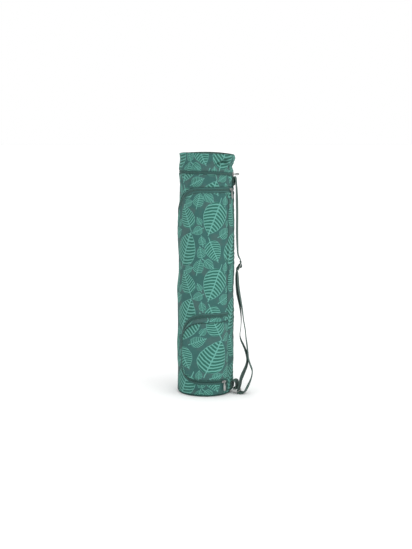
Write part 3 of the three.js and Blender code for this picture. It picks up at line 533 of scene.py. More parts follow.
def set_shade(obj, shade):
    """The mesh attribute that holds painted shade: 1 where creases, folds and edges are painted darkest,
    and 0 on open cloth
    """
    attribute = obj.data.attributes.new("painted_shade", "FLOAT", "POINT")
    attribute.data.foreach_set("value", np.asarray(shade, np.float32).ravel())


def carried(obj, slot, *nodes):
    """The piece rides with the bag and stands for its solids"""
    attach(obj, "root")
    if nodes:
        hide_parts(*nodes)
    return obj


class Cloth:
    """A shaped piece of cloth between two edges, with its finished borders"""

    def __init__(self, lower, upper, borders, lift=None, rows=None, shares=None):
        self.borders = borders
        self.lift = lift or (lambda turn, z: 0.0)
        reach = np.hypot(*(flat_place(*upper.T) - flat_place(*lower.T)).T)
        if shares is None:
            count = rows or max(2, round((reach.max() - 2 * EDGE_STEPS[-1]) / CLOTH_STEP))
            low = np.minimum(EDGE_STEPS[:, None] / reach, EDGE_SHARE)
            high = 1 - low
            blend = np.linspace(0, 1, count + 1)[:, None]
            middle = low[-1] + (high[-1] - low[-1]) * blend
            share = np.concatenate([low[:-1], middle, high[-2::-1]]).T
        else:
            share = np.broadcast_to(np.asarray(shares, float), (len(lower), len(shares)))
        self.turn = lower[:, :1] + (upper[:, :1] - lower[:, :1]) * share
        self.z = lower[:, 1:] + (upper[:, 1:] - lower[:, 1:]) * share

    def distance(self, turn, z):
        """Distance of this piece's outer face from the axis"""
        turn, z = np.asarray(turn, float), np.asarray(z, float)
        relief = cloth_waves(turn, z)
        places = flat_place(turn, z)
        for line, finish in self.borders:
            relief = relief + edge_relief(finish, *nearest_on(line, places))
        return skin(turn, z) + relief + self.lift(turn, z)

    def painted_shade(self):
        """How much painted shade darkens each place: in the small creases, in the collar's folds and
        along every border
        """
        shade = np.clip(pressed(CREASES, self.turn, self.z) / CREASE_FULL, 0, 1) * CREASE_SHADE
        fold = np.clip(pressed(COLLAR_FOLDS, self.turn, self.z) / FOLD_FULL, 0, 1) * FOLD_SHADE
        shade = np.maximum(shade, fold)
        places = flat_place(self.turn, self.z)
        for line, _ in self.borders:
            away, _ = nearest_on(line, places)
            # Painted shade along the seams and edges, fading away from them
            shade = np.maximum(shade, np.exp(-away / EDGE_SHADE_REACH))
        return shade

    def build(self, name, materials, map_shift=(0.0, 0.0), closed=False):
        """The piece as an object. The shift is that of its print."""
        distance = self.distance(self.turn, self.z)
        outer = on_turn(self.turn, distance, self.z)
        inner = on_turn(self.turn, distance - sizes().wall, self.z)
        places = flat_place(self.turn, self.z) + np.array(map_shift)
        return two_sided(name, outer, inner, materials, places, self.painted_shade(), closed)

    def row(self, path):
        """A stitched row's points on this piece's face, and the outward directions there"""
        turn, z = path.T
        points = on_turn(turn, self.distance(turn, z) + STITCH_LIFT, z)
        return points, on_turn(turn, 1.0, 0.0)


def wall_faces(columns, rows, closed):
    """Faces of a grid with two sides, and the material slot of each: 1 on the inner side"""
    index = np.arange(columns * rows).reshape(columns, rows)
    if closed:
        index = np.concatenate([index, index[:1]])
    inner = index + columns * rows
    a, b, c, d = index[:-1, :-1], index[1:, :-1], index[1:, 1:], index[:-1, 1:]
    outside = np.stack([a, b, c, d], -1).reshape(-1, 4)
    inside = outside[:, ::-1] + columns * rows
    foot = np.stack([inner[:-1, 0], inner[1:, 0], index[1:, 0], index[:-1, 0]], -1)
    head = np.stack([index[:-1, -1], index[1:, -1], inner[1:, -1], inner[:-1, -1]], -1)
    parts = [outside, inside, foot, head]
    if not closed:
        parts.append(np.stack([inner[0, :-1], index[0, :-1], index[0, 1:], inner[0, 1:]], -1))
        parts.append(np.stack([index[-1, :-1], inner[-1, :-1], inner[-1, 1:], index[-1, 1:]], -1))
    slots = np.concatenate([np.full(len(part), 1 if k == 1 else 0) for k, part in enumerate(parts)])
    return np.concatenate(parts), slots


def two_sided(name, outer, inner, materials, places, shade, closed):
    """An object with an outer and an inner side, which share their map and their shade"""
    faces, slots = wall_faces(*outer.shape[:2], closed)
    obj = new_object(name, np.stack([outer, inner]), faces, materials,
                     face_materials=np.minimum(slots, len(materials) - 1))
    places = places.reshape(-1, 2)
    set_flat_map(obj, np.concatenate([places, places]))
    set_shade(obj, np.stack([shade, shade]))
    return obj


# Lines of the panels

def main_zip_height():
    return sizes().tube_height - MAIN_ZIP_BAND


def main_zip_line(offset, straight, bend_steps=72):
    """The long zip, offset up and to the left from the middle of its tape"""
    centre = main_zip_height() - MAIN_ZIP_DROP
    span = MAIN_BEND_TURN - MAIN_SIDE_TURN + turn_of(offset)
    angle = np.linspace(0, math.pi / 2, bend_steps, endpoint=False)
    bend = pairs(MAIN_BEND_TURN - span * np.cos(angle),
                 centre + (MAIN_ZIP_DROP + offset) * np.sin(angle))
    return np.concatenate([bend, pairs(straight, main_zip_height() + offset)])


def panel_foot():
    return PIPING + 2 * GAP


def straight_zip_turns(last):
    return graded_turns(MAIN_BEND_TURN, last, low=False)


def band_edge(turns, offset):
    return pairs(turns, seam_height(turns) + offset)


JOIN_TURN = turn_of(0.00004)


def end_lines(lower, upper):
    """The straight borders at the two ends of a piece"""
    return np.array([lower[0], upper[0]]), np.array([lower[-1], upper[-1]])


def panels():
    """The four panels of the tube: name, cloth and the shift of its print"""
    under = -(MAIN_TAPE / 2 + GAP)
    over = MAIN_TAPE / 2 + GAP
    band = -COLLAR_TAPE / 2 - GAP
    made = {}

    upper = main_zip_line(under, straight_zip_turns(SEAM_TURN - JOIN_TURN))
    lower = pairs(upper[:, 0], panel_foot())
    left, right = end_lines(lower, upper)
    made["front_panel"] = (Cloth(lower, upper, [
        (np.concatenate([left[:1], upper]), TOPSTITCHED), (right, SEAMED), (lower, PIPED)]), (0.012, 0.0))

    turns = graded_turns(SEAM_TURN + JOIN_TURN, BACK_SEAM_TURN - JOIN_TURN)
    upper = pairs(turns, main_zip_height() + under)
    lower = pairs(turns, panel_foot())
    left, right = end_lines(lower, upper)
    made["side_panel"] = (Cloth(lower, upper, [
        (upper, TOPSTITCHED), (left, SEAMED), (right, SEAMED), (lower, PIPED)]), (0.0194, 0.0))

    lower = main_zip_line(over, straight_zip_turns(BACK_SEAM_TURN - JOIN_TURN))
    upper = band_edge(lower[:, 0], band)
    left, right = end_lines(lower, upper)
    made["upper_panel"] = (Cloth(lower, upper, [
        (lower, TOPSTITCHED), (upper, TOPSTITCHED), (left, SEAMED), (right, SEAMED)],
        rows=UPPER_PANEL_ROWS), (0.094, 0.041))

    left_turn = MAIN_SIDE_TURN - turn_of(MAIN_TAPE / 2 + 2 * GAP)
    turns = graded_turns(BACK_SEAM_TURN + JOIN_TURN, left_turn + 360)
    lower = pairs(turns, panel_foot())
    upper = band_edge(turns, band)
    left, right = end_lines(lower, upper)
    made["back_panel"] = (Cloth(lower, upper, [
        (lower, PIPED), (upper, TOPSTITCHED), (left, SEAMED), (right, SEAMED)]), (0.030, 0.020))
    return made


def round_turns(count=COLLAR_STEPS):
    return np.linspace(-180, 180, count, endpoint=False)


def collar_cloth():
    turns = round_turns()
    around = np.concatenate([turns, [180.0]])
    low, high = COLLAR_TAPE / 2 + GAP, rim_height(around)
    return Cloth(band_edge(turns, low), pairs(turns, rim_height(turns)), [
        (band_edge(around, low), TOPSTITCHED), (pairs(around, high), HEMMED)], lift=collar_gathers)


def collar_gathers(turn, z):
    """Gathers that rise from the band and die out towards the rim"""
    share = np.clip((z - seam_height(turn)) / sizes().collar_height, 0, 1)
    angle = np.radians(turn)
    ripple = np.sin(23 * angle + 1.9 * np.sin(3 * angle)) + 0.6 * np.sin(37 * angle + 1.1)
    ripple = ripple * (0.7 + 0.5 * np.sin(2 * angle + 0.6))
    rise = np.sin(math.pi * np.clip(share * 1.25, 0, 1)) * (1 - 0.5 * share)
    return GATHER_DEPTH * ripple * rise


# Lines of the pocket

def pocket_edges(in_top, in_side, in_foot, bend_steps=26):
    """Top and foot of the pocket, each from the upright seam to the straight left side"""
    right = SEAM_TURN - turn_of(2 * GAP)
    (top_turn, top_drop), (foot_turn, foot_rise) = POCKET_TOP_BEND, POCKET_FOOT_BEND
    straight = graded_turns(top_turn, right, low=False)[::-1]
    top = pairs(straight, POCKET_TOP - in_top)
    share = (straight - right) / (top_turn - right)
    foot = pairs(right + (foot_turn - right) * share, POCKET_FOOT + in_foot)
    angle = np.linspace(0, math.pi / 2, bend_steps + 1)[1:]
    left = POCKET_LEFT_TURN + turn_of(in_side)
    top_bend = pairs(top_turn - (top_turn - left) * np.sin(angle),
                     POCKET_TOP - top_drop + (top_drop - in_top) * np.cos(angle))
    foot_bend = pairs(foot_turn - (foot_turn - left) * np.sin(angle),
                      POCKET_FOOT + foot_rise - (foot_rise - in_foot) * np.cos(angle))
    return np.concatenate([top, top_bend]), np.concatenate([foot, foot_bend])


def pocket_loop(in_top, in_side, in_foot, side_steps=34):
    """The pocket's whole edge, from the foot of the seam round the left side to its top"""
    top, foot = pocket_edges(in_top, in_side, in_foot)
    share = np.linspace(0, 1, side_steps + 1)[1:-1, None]
    side = foot[-1] + (top[-1] - foot[-1]) * share
    return np.concatenate([foot, side, top[::-1]])


def pocket_rise(turn):
    share = np.clip(np.radians(SEAM_TURN - turn) * RADIUS / POCKET_SHOULDER, 0, 1)
    return POCKET_DEPTH * share * share * (3 - 2 * share)


POCKET_SKIN_GAP = SEAT_GAP + CAD_CLOTH
GUSSET_INSET = POCKET_TAPE + GAP


def pocket_cloths():
    """Gusset and front of the pocket"""
    inner = [GUSSET_INSET + width for width in GUSSET]
    lower = pocket_loop(*inner)
    upper = pocket_loop(*[GUSSET_INSET] * 3)

    def gusset_lift(turn, z):
        places = flat_place(turn, z)
        from_inner, _ = nearest_on(lower, places)
        from_outer, _ = nearest_on(upper, places)
        share = from_inner / np.maximum(from_inner + from_outer, 1e-6)
        return POCKET_SKIN_GAP + pocket_rise(turn) * (1 - share * share)

    gusset = Cloth(lower, upper, [(lower, BOUND), (upper, BOUND)], lift=gusset_lift,
                   shares=[0, 0.04, 0.09, 0.16, 0.25, 0.36, 0.48, 0.6, 0.72, 0.82, 0.9, 0.95, 1])
    top, foot = pocket_edges(*[width + GAP for width in inner])
    top, foot = top[::-1], foot[::-1]
    middle = (SEAM_TURN + POCKET_LEFT_TURN) / 2
    half = (SEAM_TURN - POCKET_LEFT_TURN) / 2

    def front_lift(turn, z):
        away = (turn - middle) / half
        low = np.interp(turn, foot[:, 0], foot[:, 1])
        high = np.interp(turn, top[:, 0], top[:, 1])
        share = np.clip((z - low) / (high - low), 0, 1)
        crown = np.maximum(0, 1 - away * away) * np.sin(math.pi * share)
        return POCKET_SKIN_GAP + pocket_rise(turn) + POCKET_CROWN * crown

    rim = np.concatenate([top[::-1], foot])
    front = Cloth(foot, top, [(rim, BOUND), (np.array([foot[-1], top[-1]]), SEAMED)], lift=front_lift)
    return gusset, front


# Zips

def zip_tape(line_at, half, lift, name, closed=False):
    """A woven tape along a line: a flat band with a cord near each border"""
    across = np.array([-1, -0.94, -0.78, -0.68, -0.6, -0.5, -0.4, -0.3, -0.2, -0.1, 0,
                       0.1, 0.2, 0.3, 0.4, 0.5, 0.6, 0.68, 0.78, 0.94, 1]) * (half + TAPE_MARGIN)
    lines = [line_at(offset) for offset in across]
    turn = np.stack([line[:, 0] for line in lines], 1)
    z = np.stack([line[:, 1] for line in lines], 1)
    cord = TAPE_CORD * np.exp(-((np.abs(across) - half * 0.62) / (half * 0.10)) ** 2)
    sag = cord - TAPE_SINK - 0.0002 * (np.abs(across) > half)
    distance = skin(turn, z) + cloth_waves(turn, z) + lift + sag
    outer, inner = on_turn(turn, distance, z), on_turn(turn, distance - TAPE_SHEET, z)
    middle = lines[len(lines) // 2]
    steps = np.hypot(*np.diff(flat_place(*middle.T), axis=0).T)
    along = np.concatenate([[0], np.cumsum(steps)])
    places = np.stack(np.broadcast_arrays(across[None, :], along[:, None]), -1)
    # Painted shade, darkest at the tape's borders and where the tape runs under the cloth
    shade = np.broadcast_to(0.6 * np.exp(-(half - np.abs(across)).clip(0) / 0.0006), turn.shape)
    return two_sided(name, outer, inner, [MATERIALS["tape"]], places, shade, closed)


def zip_path(line, lift):
    """Points and outward directions along the middle of a tape"""
    turn, z = line.T
    distance = skin(turn, z) + cloth_waves(turn, z) + lift
    return on_turn(turn, distance, z), on_turn(turn, 1.0, 0.0)


def main_zip_at(offset):
    """The long zip from its foot at the base, up the left side and over the front"""
    curve = main_zip_line(offset, graded_turns(MAIN_BEND_TURN, BACK_SEAM_TURN - JOIN_TURN,
                                               low=False, high=False), bend_steps=90)
    foot = pairs(curve[0, 0], np.linspace(panel_foot(), curve[0, 1], 96)[:-1])
    return np.concatenate([foot, curve])


def collar_zip_at(offset):
    return band_edge(round_turns(), offset)


def pocket_zip_at(offset):
    inset = POCKET_TAPE / 2 - offset
    return pocket_loop(inset, inset, inset)


# Trees that repeat a thing along a path

def new_group(kind, name, inputs, outputs):
    """A node group, what goes into it and what it gives. An input is a name, type and default."""
    group = bpy.data.node_groups.new(name, kind)
    for title, socket_type, default in inputs:
        socket = group.interface.new_socket(
            title, in_out="INPUT", socket_type=f"NodeSocket{socket_type}")
        if default is not None:
            socket.default_value = default
    for title, socket_type in outputs:
        group.interface.new_socket(title, in_out="OUTPUT", socket_type=f"NodeSocket{socket_type}")
    get = group.nodes.new("NodeGroupInput").outputs
    return group, get, group.nodes.new("NodeGroupOutput").inputs


def path_group(name, inputs):
    """A geometry group that grows something along a path"""
    return new_group("GeometryNodeTree", name, [("Geometry", "Geometry", None), *inputs],
                     [("Geometry", "Geometry")])


def shader_group(name, inputs, outputs):
    return new_group("ShaderNodeTree", name, inputs, outputs)


def feed(tree, value, socket):
    """Links a value that is a socket, or sets a constant"""
    if isinstance(value, bpy.types.NodeSocket):
        tree.links.new(value, socket)
    else:
        socket.default_value = value


def set_inputs(tree, node, **values):
    """Feeds a node's inputs by their names, with _ for a space"""
    for key, value in values.items():
        feed(tree, value, node.inputs[key.replace("_", " ")])
    return node


def math_node(tree, operation, *values, kind="ShaderNodeMath", result="Value"):
    """A math or vector math node. Each value is a socket or a constant."""
    node = tree.nodes.new(kind)
    node.operation = operation
    for slot, value in enumerate(values):
        feed(tree, value, node.inputs[slot])
    return node.outputs[result]


def vector_node(tree, operation, *values, result="Vector"):
    return math_node(tree, operation, *values, kind="ShaderNodeVectorMath", result=result)


def plus(tree, first, second):
    return math_node(tree, "ADD", first, second)


def minus(tree, first, second):
    return math_node(tree, "SUBTRACT", first, second)


def times(tree, first, second):
    return math_node(tree, "MULTIPLY", first, second)


def scaled(tree, vector, factor):
    """A vector or colour times a number"""
    node = tree.nodes.new("ShaderNodeVectorMath")
    node.operation = "SCALE"
    return set_inputs(tree, node, Vector=vector, Scale=factor).outputs["Vector"]


def stretched(tree, vector, scale):
    """Places stretched by three numbers"""
    node = tree.nodes.new("ShaderNodeMapping")
    return set_inputs(tree, node, Vector=vector, Scale=scale).outputs["Vector"]


def turned_axes(tree, primary, secondary):
    """The rotation that takes Z and X to two directions"""
    axes = tree.nodes.new("FunctionNodeAxesToRotation")
    axes.primary_axis, axes.secondary_axis = "Z", "X"
    return set_inputs(tree, axes, Primary_Axis=primary, Secondary_Axis=secondary).outputs["Rotation"]


def short_rod(tree, radius, length):
    """A six-sided rod along Z"""
    rod = tree.nodes.new("GeometryNodeMeshCylinder")
    rod.fill_type = "NGON"
    return set_inputs(tree, rod, Vertices=6, Radius=radius, Depth=length).outputs["Mesh"]


def points_along(tree, get, pitch):
    """Evenly spaced points on a path, with their tangents and outward directions"""
    curve = tree.nodes.new("GeometryNodeMeshToCurve")
    points = tree.nodes.new("GeometryNodeCurveToPoints")
    points.mode = "LENGTH"
    outward = tree.nodes.new("GeometryNodeInputNamedAttribute")
    outward.data_type = "FLOAT_VECTOR"
    set_inputs(tree, outward, Name="outward")
    set_inputs(tree, curve, Mesh=get["Geometry"])
    set_inputs(tree, points, Curve=curve.outputs["Curve"], Length=pitch)
    return points, outward.outputs["Attribute"]


def placed_copies(tree, put, points, shape, rotation, material):
    """Copies of a shape on points, made real, smooth and given their material"""
    copies = tree.nodes.new("GeometryNodeInstanceOnPoints")
    real = tree.nodes.new("GeometryNodeRealizeInstances")
    smooth = tree.nodes.new("GeometryNodeSetShadeSmooth")
    finish = tree.nodes.new("GeometryNodeSetMaterial")
    set_inputs(tree, copies, Points=points, Instance=shape, Rotation=rotation)
    set_inputs(tree, real, Geometry=copies.outputs["Instances"])
    set_inputs(tree, smooth, Geometry=real.outputs["Geometry"])
    set_inputs(tree, finish, Geometry=smooth.outputs["Geometry"], Material=material)
    tree.links.new(finish.outputs["Geometry"], put["Geometry"])


def stitch_tree():
    """Stitches: short threads end to end along a path"""
    tree, get, put = path_group("Stitch row", [
        ("Pitch", "Float", 0.0034), ("Thread", "Float", 0.00055),
        ("Share", "Float", 0.72), ("Seed", "Int", 5),
        ("Material", "Material", None)])
    points, outward = points_along(tree, get, get["Pitch"])
    axes = turned_axes(tree, points.outputs["Tangent"], outward)
    swing = tree.nodes.new("FunctionNodeRandomValue")
    swing.data_type = "FLOAT_VECTOR"
    set_inputs(tree, swing, Min=(-0.06, -0.06, 0), Max=(0.06, 0.06, 0), Seed=get["Seed"])
    turned = tree.nodes.new("FunctionNodeRotateRotation")
    turned.rotation_space = "LOCAL"
    set_inputs(tree, turned, Rotation=axes, Rotate_By=swing.outputs["Value"])
    radius = times(tree, get["Thread"], 0.5)
    length = times(tree, get["Pitch"], get["Share"])
    placed_copies(tree, put, points.outputs["Points"], short_rod(tree, radius, length),
                  turned.outputs["Rotation"], get["Material"])
    return tree


def coil_tree():
    """Zip teeth: bars across a path, set to the left and right in turn"""
    tree, get, put = path_group("Zip coil", [
        ("Pitch", "Float", 0.0013), ("Tooth", "Float", 0.0026),
        ("Thickness", "Float", 0.0010), ("Material", "Material", None)])
    points, outward = points_along(tree, get, times(tree, get["Pitch"], 0.5))
    across = vector_node(tree, "CROSS_PRODUCT", outward, points.outputs["Tangent"])
    index = tree.nodes.new("GeometryNodeInputIndex")
    parity = math_node(tree, "MODULO", index.outputs["Index"], 2.0)
    side = math_node(tree, "MULTIPLY_ADD", parity, 2.0, -1.0)
    reach = times(tree, get["Tooth"], TOOTH_SHIFT)
    shift = tree.nodes.new("GeometryNodeSetPosition")
    offset = scaled(tree, across, times(tree, side, reach))
    set_inputs(tree, shift, Geometry=points.outputs["Points"], Offset=offset)
    radius = times(tree, get["Thickness"], 0.5)
    tooth = short_rod(tree, radius, get["Tooth"])
    placed_copies(tree, put, shift.outputs["Geometry"], tooth,
                  turned_axes(tree, across, outward), get["Material"])
    return tree


def grown(name, paths, tree, values, closed=False):
    """A plain mesh grown by a tree along one or more paths of points and outward directions"""
    points = np.concatenate([path[0] for path in paths])
    outward = np.concatenate([path[1] for path in paths])
    edges, first = [], 0
    for path, _ in paths:
        last = first + len(path)
        edges += [(i, i + 1) for i in range(first, last - 1)]
        if closed:
            edges.append((last - 1, first))
        first = last
    mesh = bpy.data.meshes.new(name)
    mesh.from_pydata(points.tolist(), edges, [])
    attribute = mesh.attributes.new("outward", "FLOAT_VECTOR", "POINT")
    attribute.data.foreach_set("vector", outward.astype(np.float32).ravel())
    obj = bpy.data.objects.new(name, mesh)
    bpy.context.scene.collection.objects.link(obj)
    modifier = obj.modifiers.new(tree.name, "NODES")
    modifier.node_group = tree
    for item in tree.interface.items_tree:
        if item.in_out == "INPUT" and item.name in values:
            modifier[item.identifier] = values[item.name]
    evaluated = obj.evaluated_get(bpy.context.evaluated_depsgraph_get())
    result = bpy.data.meshes.new_from_object(evaluated)
    obj.modifiers.remove(modifier)
    obj.data = result
    result.name = name
    if not len(result.polygons):
        raise RuntimeError(f"{name}: nothing grew along its path")
    return obj


# Materials

MATERIALS = {}
TREES = {}


def use_group(tree, group, **values):
    node = tree.nodes.new("ShaderNodeGroup")
    node.node_tree = group
    return set_inputs(tree, node, **values)


def mix_colour(tree, share, first, second):
    """From the first colour to the second. Each is a socket or three constants."""
    node = tree.nodes.new("ShaderNodeMix")
    node.data_type = "RGBA"
    tree.links.new(share, node.inputs[0])
    for colour, socket in ((first, node.inputs[6]), (second, node.inputs[7])):
        feed(tree, colour if isinstance(colour, bpy.types.NodeSocket) else (*colour, 1), socket)
    return node.outputs[2]


def ramp_node(tree, value, low, high, to_low=0.0, to_high=1.0):
    """A smooth step from low to high"""
    node = tree.nodes.new("ShaderNodeMapRange")
    node.interpolation_type = "SMOOTHSTEP"
    set_inputs(tree, node, Value=value, From_Min=low, From_Max=high, To_Min=to_low, To_Max=to_high)
    return node.outputs["Result"]


def noise_node(tree, vector, scale, detail=2.0, roughness=0.5):
    node = tree.nodes.new("ShaderNodeTexNoise")
    set_inputs(tree, node, Vector=vector, Scale=scale, Detail=detail, Roughness=roughness)
    return node.outputs["Fac"]


def leaf_group():
    """One leaf of the print. It passes on the last leaf's measures where it doesn't lie itself."""
    group, get, put = shader_group("One leaf", [
        ("Cloth", "Vector", None), ("Last", "Vector", None),
        ("Middle", "Vector", None), ("Along", "Vector", None),
        ("Across", "Vector", None), ("Length", "Float", 0.05),
        ("Half Width", "Float", 0.02), ("Vein Pitch", "Float", 0.006)],
        [("Leaf", "Vector")])
    half_repeat = (PRINT_REPEAT[0] / 2, PRINT_REPEAT[1] / 2, 0.5)
    away = vector_node(group, "SUBTRACT", get["Cloth"], get["Middle"])
    away = vector_node(group, "WRAP", away, half_repeat, tuple(-size for size in half_repeat))

    def dot(direction):
        return vector_node(group, "DOT_PRODUCT", away, get[direction], result="Value")

    half_length = times(group, get["Length"], 0.5)
    along = plus(group, dot("Along"), half_length)
    across = math_node(group, "ABSOLUTE", dot("Across"))
    share = math_node(group, "DIVIDE", along, get["Length"])
    share = math_node(group, "MINIMUM", math_node(group, "MAXIMUM", share, 0.0), 1.0)
    base = math_node(group, "POWER", share, LEAF_BASE_POWER)
    tip = math_node(group, "POWER", minus(group, 1.0, share), LEAF_TIP_POWER)
    width = times(group, times(group, base, tip), get["Half Width"])
    middle = times(group, get["Length"], 0.45)
    reach = times(group, get["Length"], 0.61)
    stem = math_node(group, "COMPARE", along, middle, reach)
    width = math_node(group, "MAXIMUM", width, times(group, stem, 0.0011))
    rim = minus(group, width, across)
    inside = math_node(group, "GREATER_THAN", rim, 0.0)
    packed = group.nodes.new("ShaderNodeCombineXYZ")
    for slot, value in enumerate((along, across, rim)):
        group.links.new(math_node(group, "DIVIDE", value, get["Vein Pitch"]), packed.inputs[slot])
    choice = group.nodes.new("ShaderNodeMix")
    choice.data_type = "VECTOR"
    group.links.new(inside, choice.inputs[0])
    group.links.new(get["Last"], choice.inputs[4])
    group.links.new(packed.outputs[0], choice.inputs[5])
    group.links.new(choice.outputs[1], put["Leaf"])
    return group


def print_group():
    """The leaf print: masks of the leaves and of their veins on the flat cloth"""
    group, get, put = shader_group(
        "Leaf print", [("Cloth", "Vector", None)],
        [("Leaves", "Float"), ("Veins", "Float")])
    one_leaf = leaf_group()
    peak = LEAF_BASE_POWER / (LEAF_BASE_POWER + LEAF_TIP_POWER)
    fullest = peak ** LEAF_BASE_POWER * (1 - peak) ** LEAF_TIP_POWER
    wobble = group.nodes.new("ShaderNodeTexNoise")
    set_inputs(group, wobble, Vector=get["Cloth"], Scale=95.0, Detail=1.0)
    centred = vector_node(group, "SUBTRACT", wobble.outputs["Color"], (0.5, 0.5, 0.5))
    shaken = vector_node(group, "MULTIPLY_ADD", centred, (0.0026, 0.0026, 0.0), get["Cloth"])
    leaf = (0.0, 0.0, -1.0)
    for row in LEAVES:
        angle = math.radians(row["tip"])
        c, s = math.cos(angle), math.sin(angle)
        leaf = use_group(group, one_leaf, Cloth=shaken, Last=leaf,
                         Middle=(row["s"], row["z"], 0.0), Along=(c, s, 0.0), Across=(-s, c, 0.0),
                         Length=row["length"], Half_Width=row["width"] / 2 / fullest,
                         Vein_Pitch=0.0018 + 0.083 * row["length"]).outputs["Leaf"]
    parts = group.nodes.new("ShaderNodeSeparateXYZ")
    group.links.new(leaf, parts.inputs[0])
    along, across, rim = parts.outputs
    curved = times(group, times(group, across, across), 0.08)
    lean = math_node(group, "MULTIPLY_ADD", across, 0.27, curved)
    saw = math_node(group, "FRACT", minus(group, along, lean))
    saw = math_node(group, "ABSOLUTE", minus(group, saw, 0.5))
    veins = ramp_node(group, saw, 0.225, 0.165)
    middle = ramp_node(group, across, 0.19, 0.12)
    border = ramp_node(group, rim, 0.17, 0.11)
    lines = math_node(group, "MAXIMUM", veins, math_node(group, "MAXIMUM", middle, border))
    leaves = math_node(group, "GREATER_THAN", rim, 0.0)
    group.links.new(leaves, put["Leaves"])
    group.links.new(times(group, lines, leaves), put["Veins"])
    return group


def weave_group():
    """Threads over and under each other: their height, and a tone that varies from thread to thread"""
    group, get, put = shader_group("Plain weave", [
        ("Cloth", "Vector", None), ("Threads", "Float", 1500.0)],
        [("Height", "Float"), ("Tone", "Float")])
    parts = group.nodes.new("ShaderNodeSeparateXYZ")
    group.links.new(get["Cloth"], parts.inputs[0])
    rate = times(group, get["Threads"], math.pi)
    warp = math_node(group, "SINE", times(group, parts.outputs[0], rate))
    weft = math_node(group, "SINE", times(group, parts.outputs[1], rate))
    height = times(group, times(group, warp, weft), 0.5)
    streaks = [noise_node(group, stretched(group, get["Cloth"], scale), 1.0, 1.0)
               for scale in ((900.0, 90.0, 1.0), (90.0, 900.0, 1.0))]
    tone = times(group, plus(group, *streaks), 0.5)
    height = plus(group, height, times(group, tone, 0.8))
    group.links.new(height, put["Height"])
    group.links.new(tone, put["Tone"])
    return group


def worn_group():
    """Cloth that has been used: slow and fine changes of tone, and painted shade in its creases, folds
    and along its edges
    """
    group, get, put = shader_group("Worn cloth with painted shade", [
        ("Colour", "Color", (0.5, 0.5, 0.5, 1)), ("Tone", "Float", 0.5),
        ("Crease", "Float", 0.0), ("Amount", "Float", 0.3)],
        [("Colour", "Color")])
    place = group.nodes.new("ShaderNodeTexCoord").outputs["Object"]
    slow = noise_node(group, place, 14.0, 3.0, 0.6)
    fine = noise_node(group, place, 260.0, 2.0, 0.6)
    slow, fine, threads = (
        times(group, minus(group, tone, 0.5), weight)
        for tone, weight in ((slow, 0.7), (fine, 0.55), (get["Tone"], 0.8)))
    change = plus(group, plus(group, slow, fine), threads)
    change = times(group, change, get["Amount"])
    # Painted shade: the mesh's attribute darkens the colour in creases, folds and along edges
    shade = times(group, get["Crease"], -SHADE_DARKNESS)
    bright = plus(group, plus(group, change, shade), 1.0)
    group.links.new(scaled(group, get["Colour"], bright), put["Colour"])
    return group


def new_material(name):
    material = bpy.data.materials.new(name)
    material.use_nodes = True
    tree = material.node_tree
    tree.nodes.clear()
    surface = tree.nodes.new("ShaderNodeBsdfPrincipled")
    output = tree.nodes.new("ShaderNodeOutputMaterial")
    tree.links.new(surface.outputs["BSDF"], output.inputs["Surface"])
    return material, tree, surface


def cloth_map(tree):
    node = tree.nodes.new("ShaderNodeUVMap")
    node.uv_map = "cloth"
    return node.outputs["UV"]


def painted_shade_map(tree):
    node = tree.nodes.new("ShaderNodeAttribute")
    node.attribute_name = "painted_shade"
    return node.outputs["Fac"]


def bump(tree, surface, height, strength, distance):
    node = tree.nodes.new("ShaderNodeBump")
    set_inputs(tree, node, Strength=strength, Distance=distance, Height=height)
    tree.links.new(node.outputs["Normal"], surface.inputs["Normal"])


def woven_material(name, colour, threads, amount, roughness=0.95, sheen=0.05, printed=None):
    """Cloth of one colour, or printed where a mask group is given"""
    material, tree, surface = new_material(name)
    place = cloth_map(tree)
    weave = use_group(tree, TREES["weave"], Cloth=place, Threads=threads)
    base = (*colour, 1)
    if printed is not None:
        tones = colours()
        masks = use_group(tree, printed, Cloth=place)
        patches = ramp_node(tree, noise_node(tree, place, 26.0, 2.0), 0.46, 0.62)
        ground = mix_colour(tree, patches, tones.ground, tones.shadow_ground)
        leaf = mix_colour(tree, masks.outputs["Leaves"], ground, tones.leaf)
        base = mix_colour(tree, masks.outputs["Veins"], leaf, tones.vein)
    # Random tone, and painted shade from the mesh's attribute
    worn = use_group(tree, TREES["worn"], Colour=base, Tone=weave.outputs["Tone"],
                     Crease=painted_shade_map(tree), Amount=amount)
    set_inputs(tree, surface, Base_Color=worn.outputs["Colour"], Roughness=roughness,
               Specular_IOR_Level=0.25, Sheen_Weight=sheen, Sheen_Roughness=0.5)
    bump(tree, surface, weave.outputs["Height"], 0.35, 0.00025)
    return material


def thread_materials():
    """Sewing thread and zip teeth: a tone that changes along the seam"""
    made = []
    for name, colour, roughness in (("thread", colours().thread, 0.7), ("coil", colours().coil, 0.42)):
        material, tree, surface = new_material(name)
        place = tree.nodes.new("ShaderNodeTexCoord").outputs["Object"]
        tone = noise_node(tree, place, 420.0, 2.0)
        dark = tuple(channel * 0.72 for channel in colour)
        light = tuple(channel * 1.22 for channel in colour)
        set_inputs(tree, surface, Base_Color=mix_colour(tree, tone, dark, light), Roughness=roughness)
        bump(tree, surface, noise_node(tree, place, 2600.0, 1.0), 0.2, 0.0002)
        made.append(material)
    return made


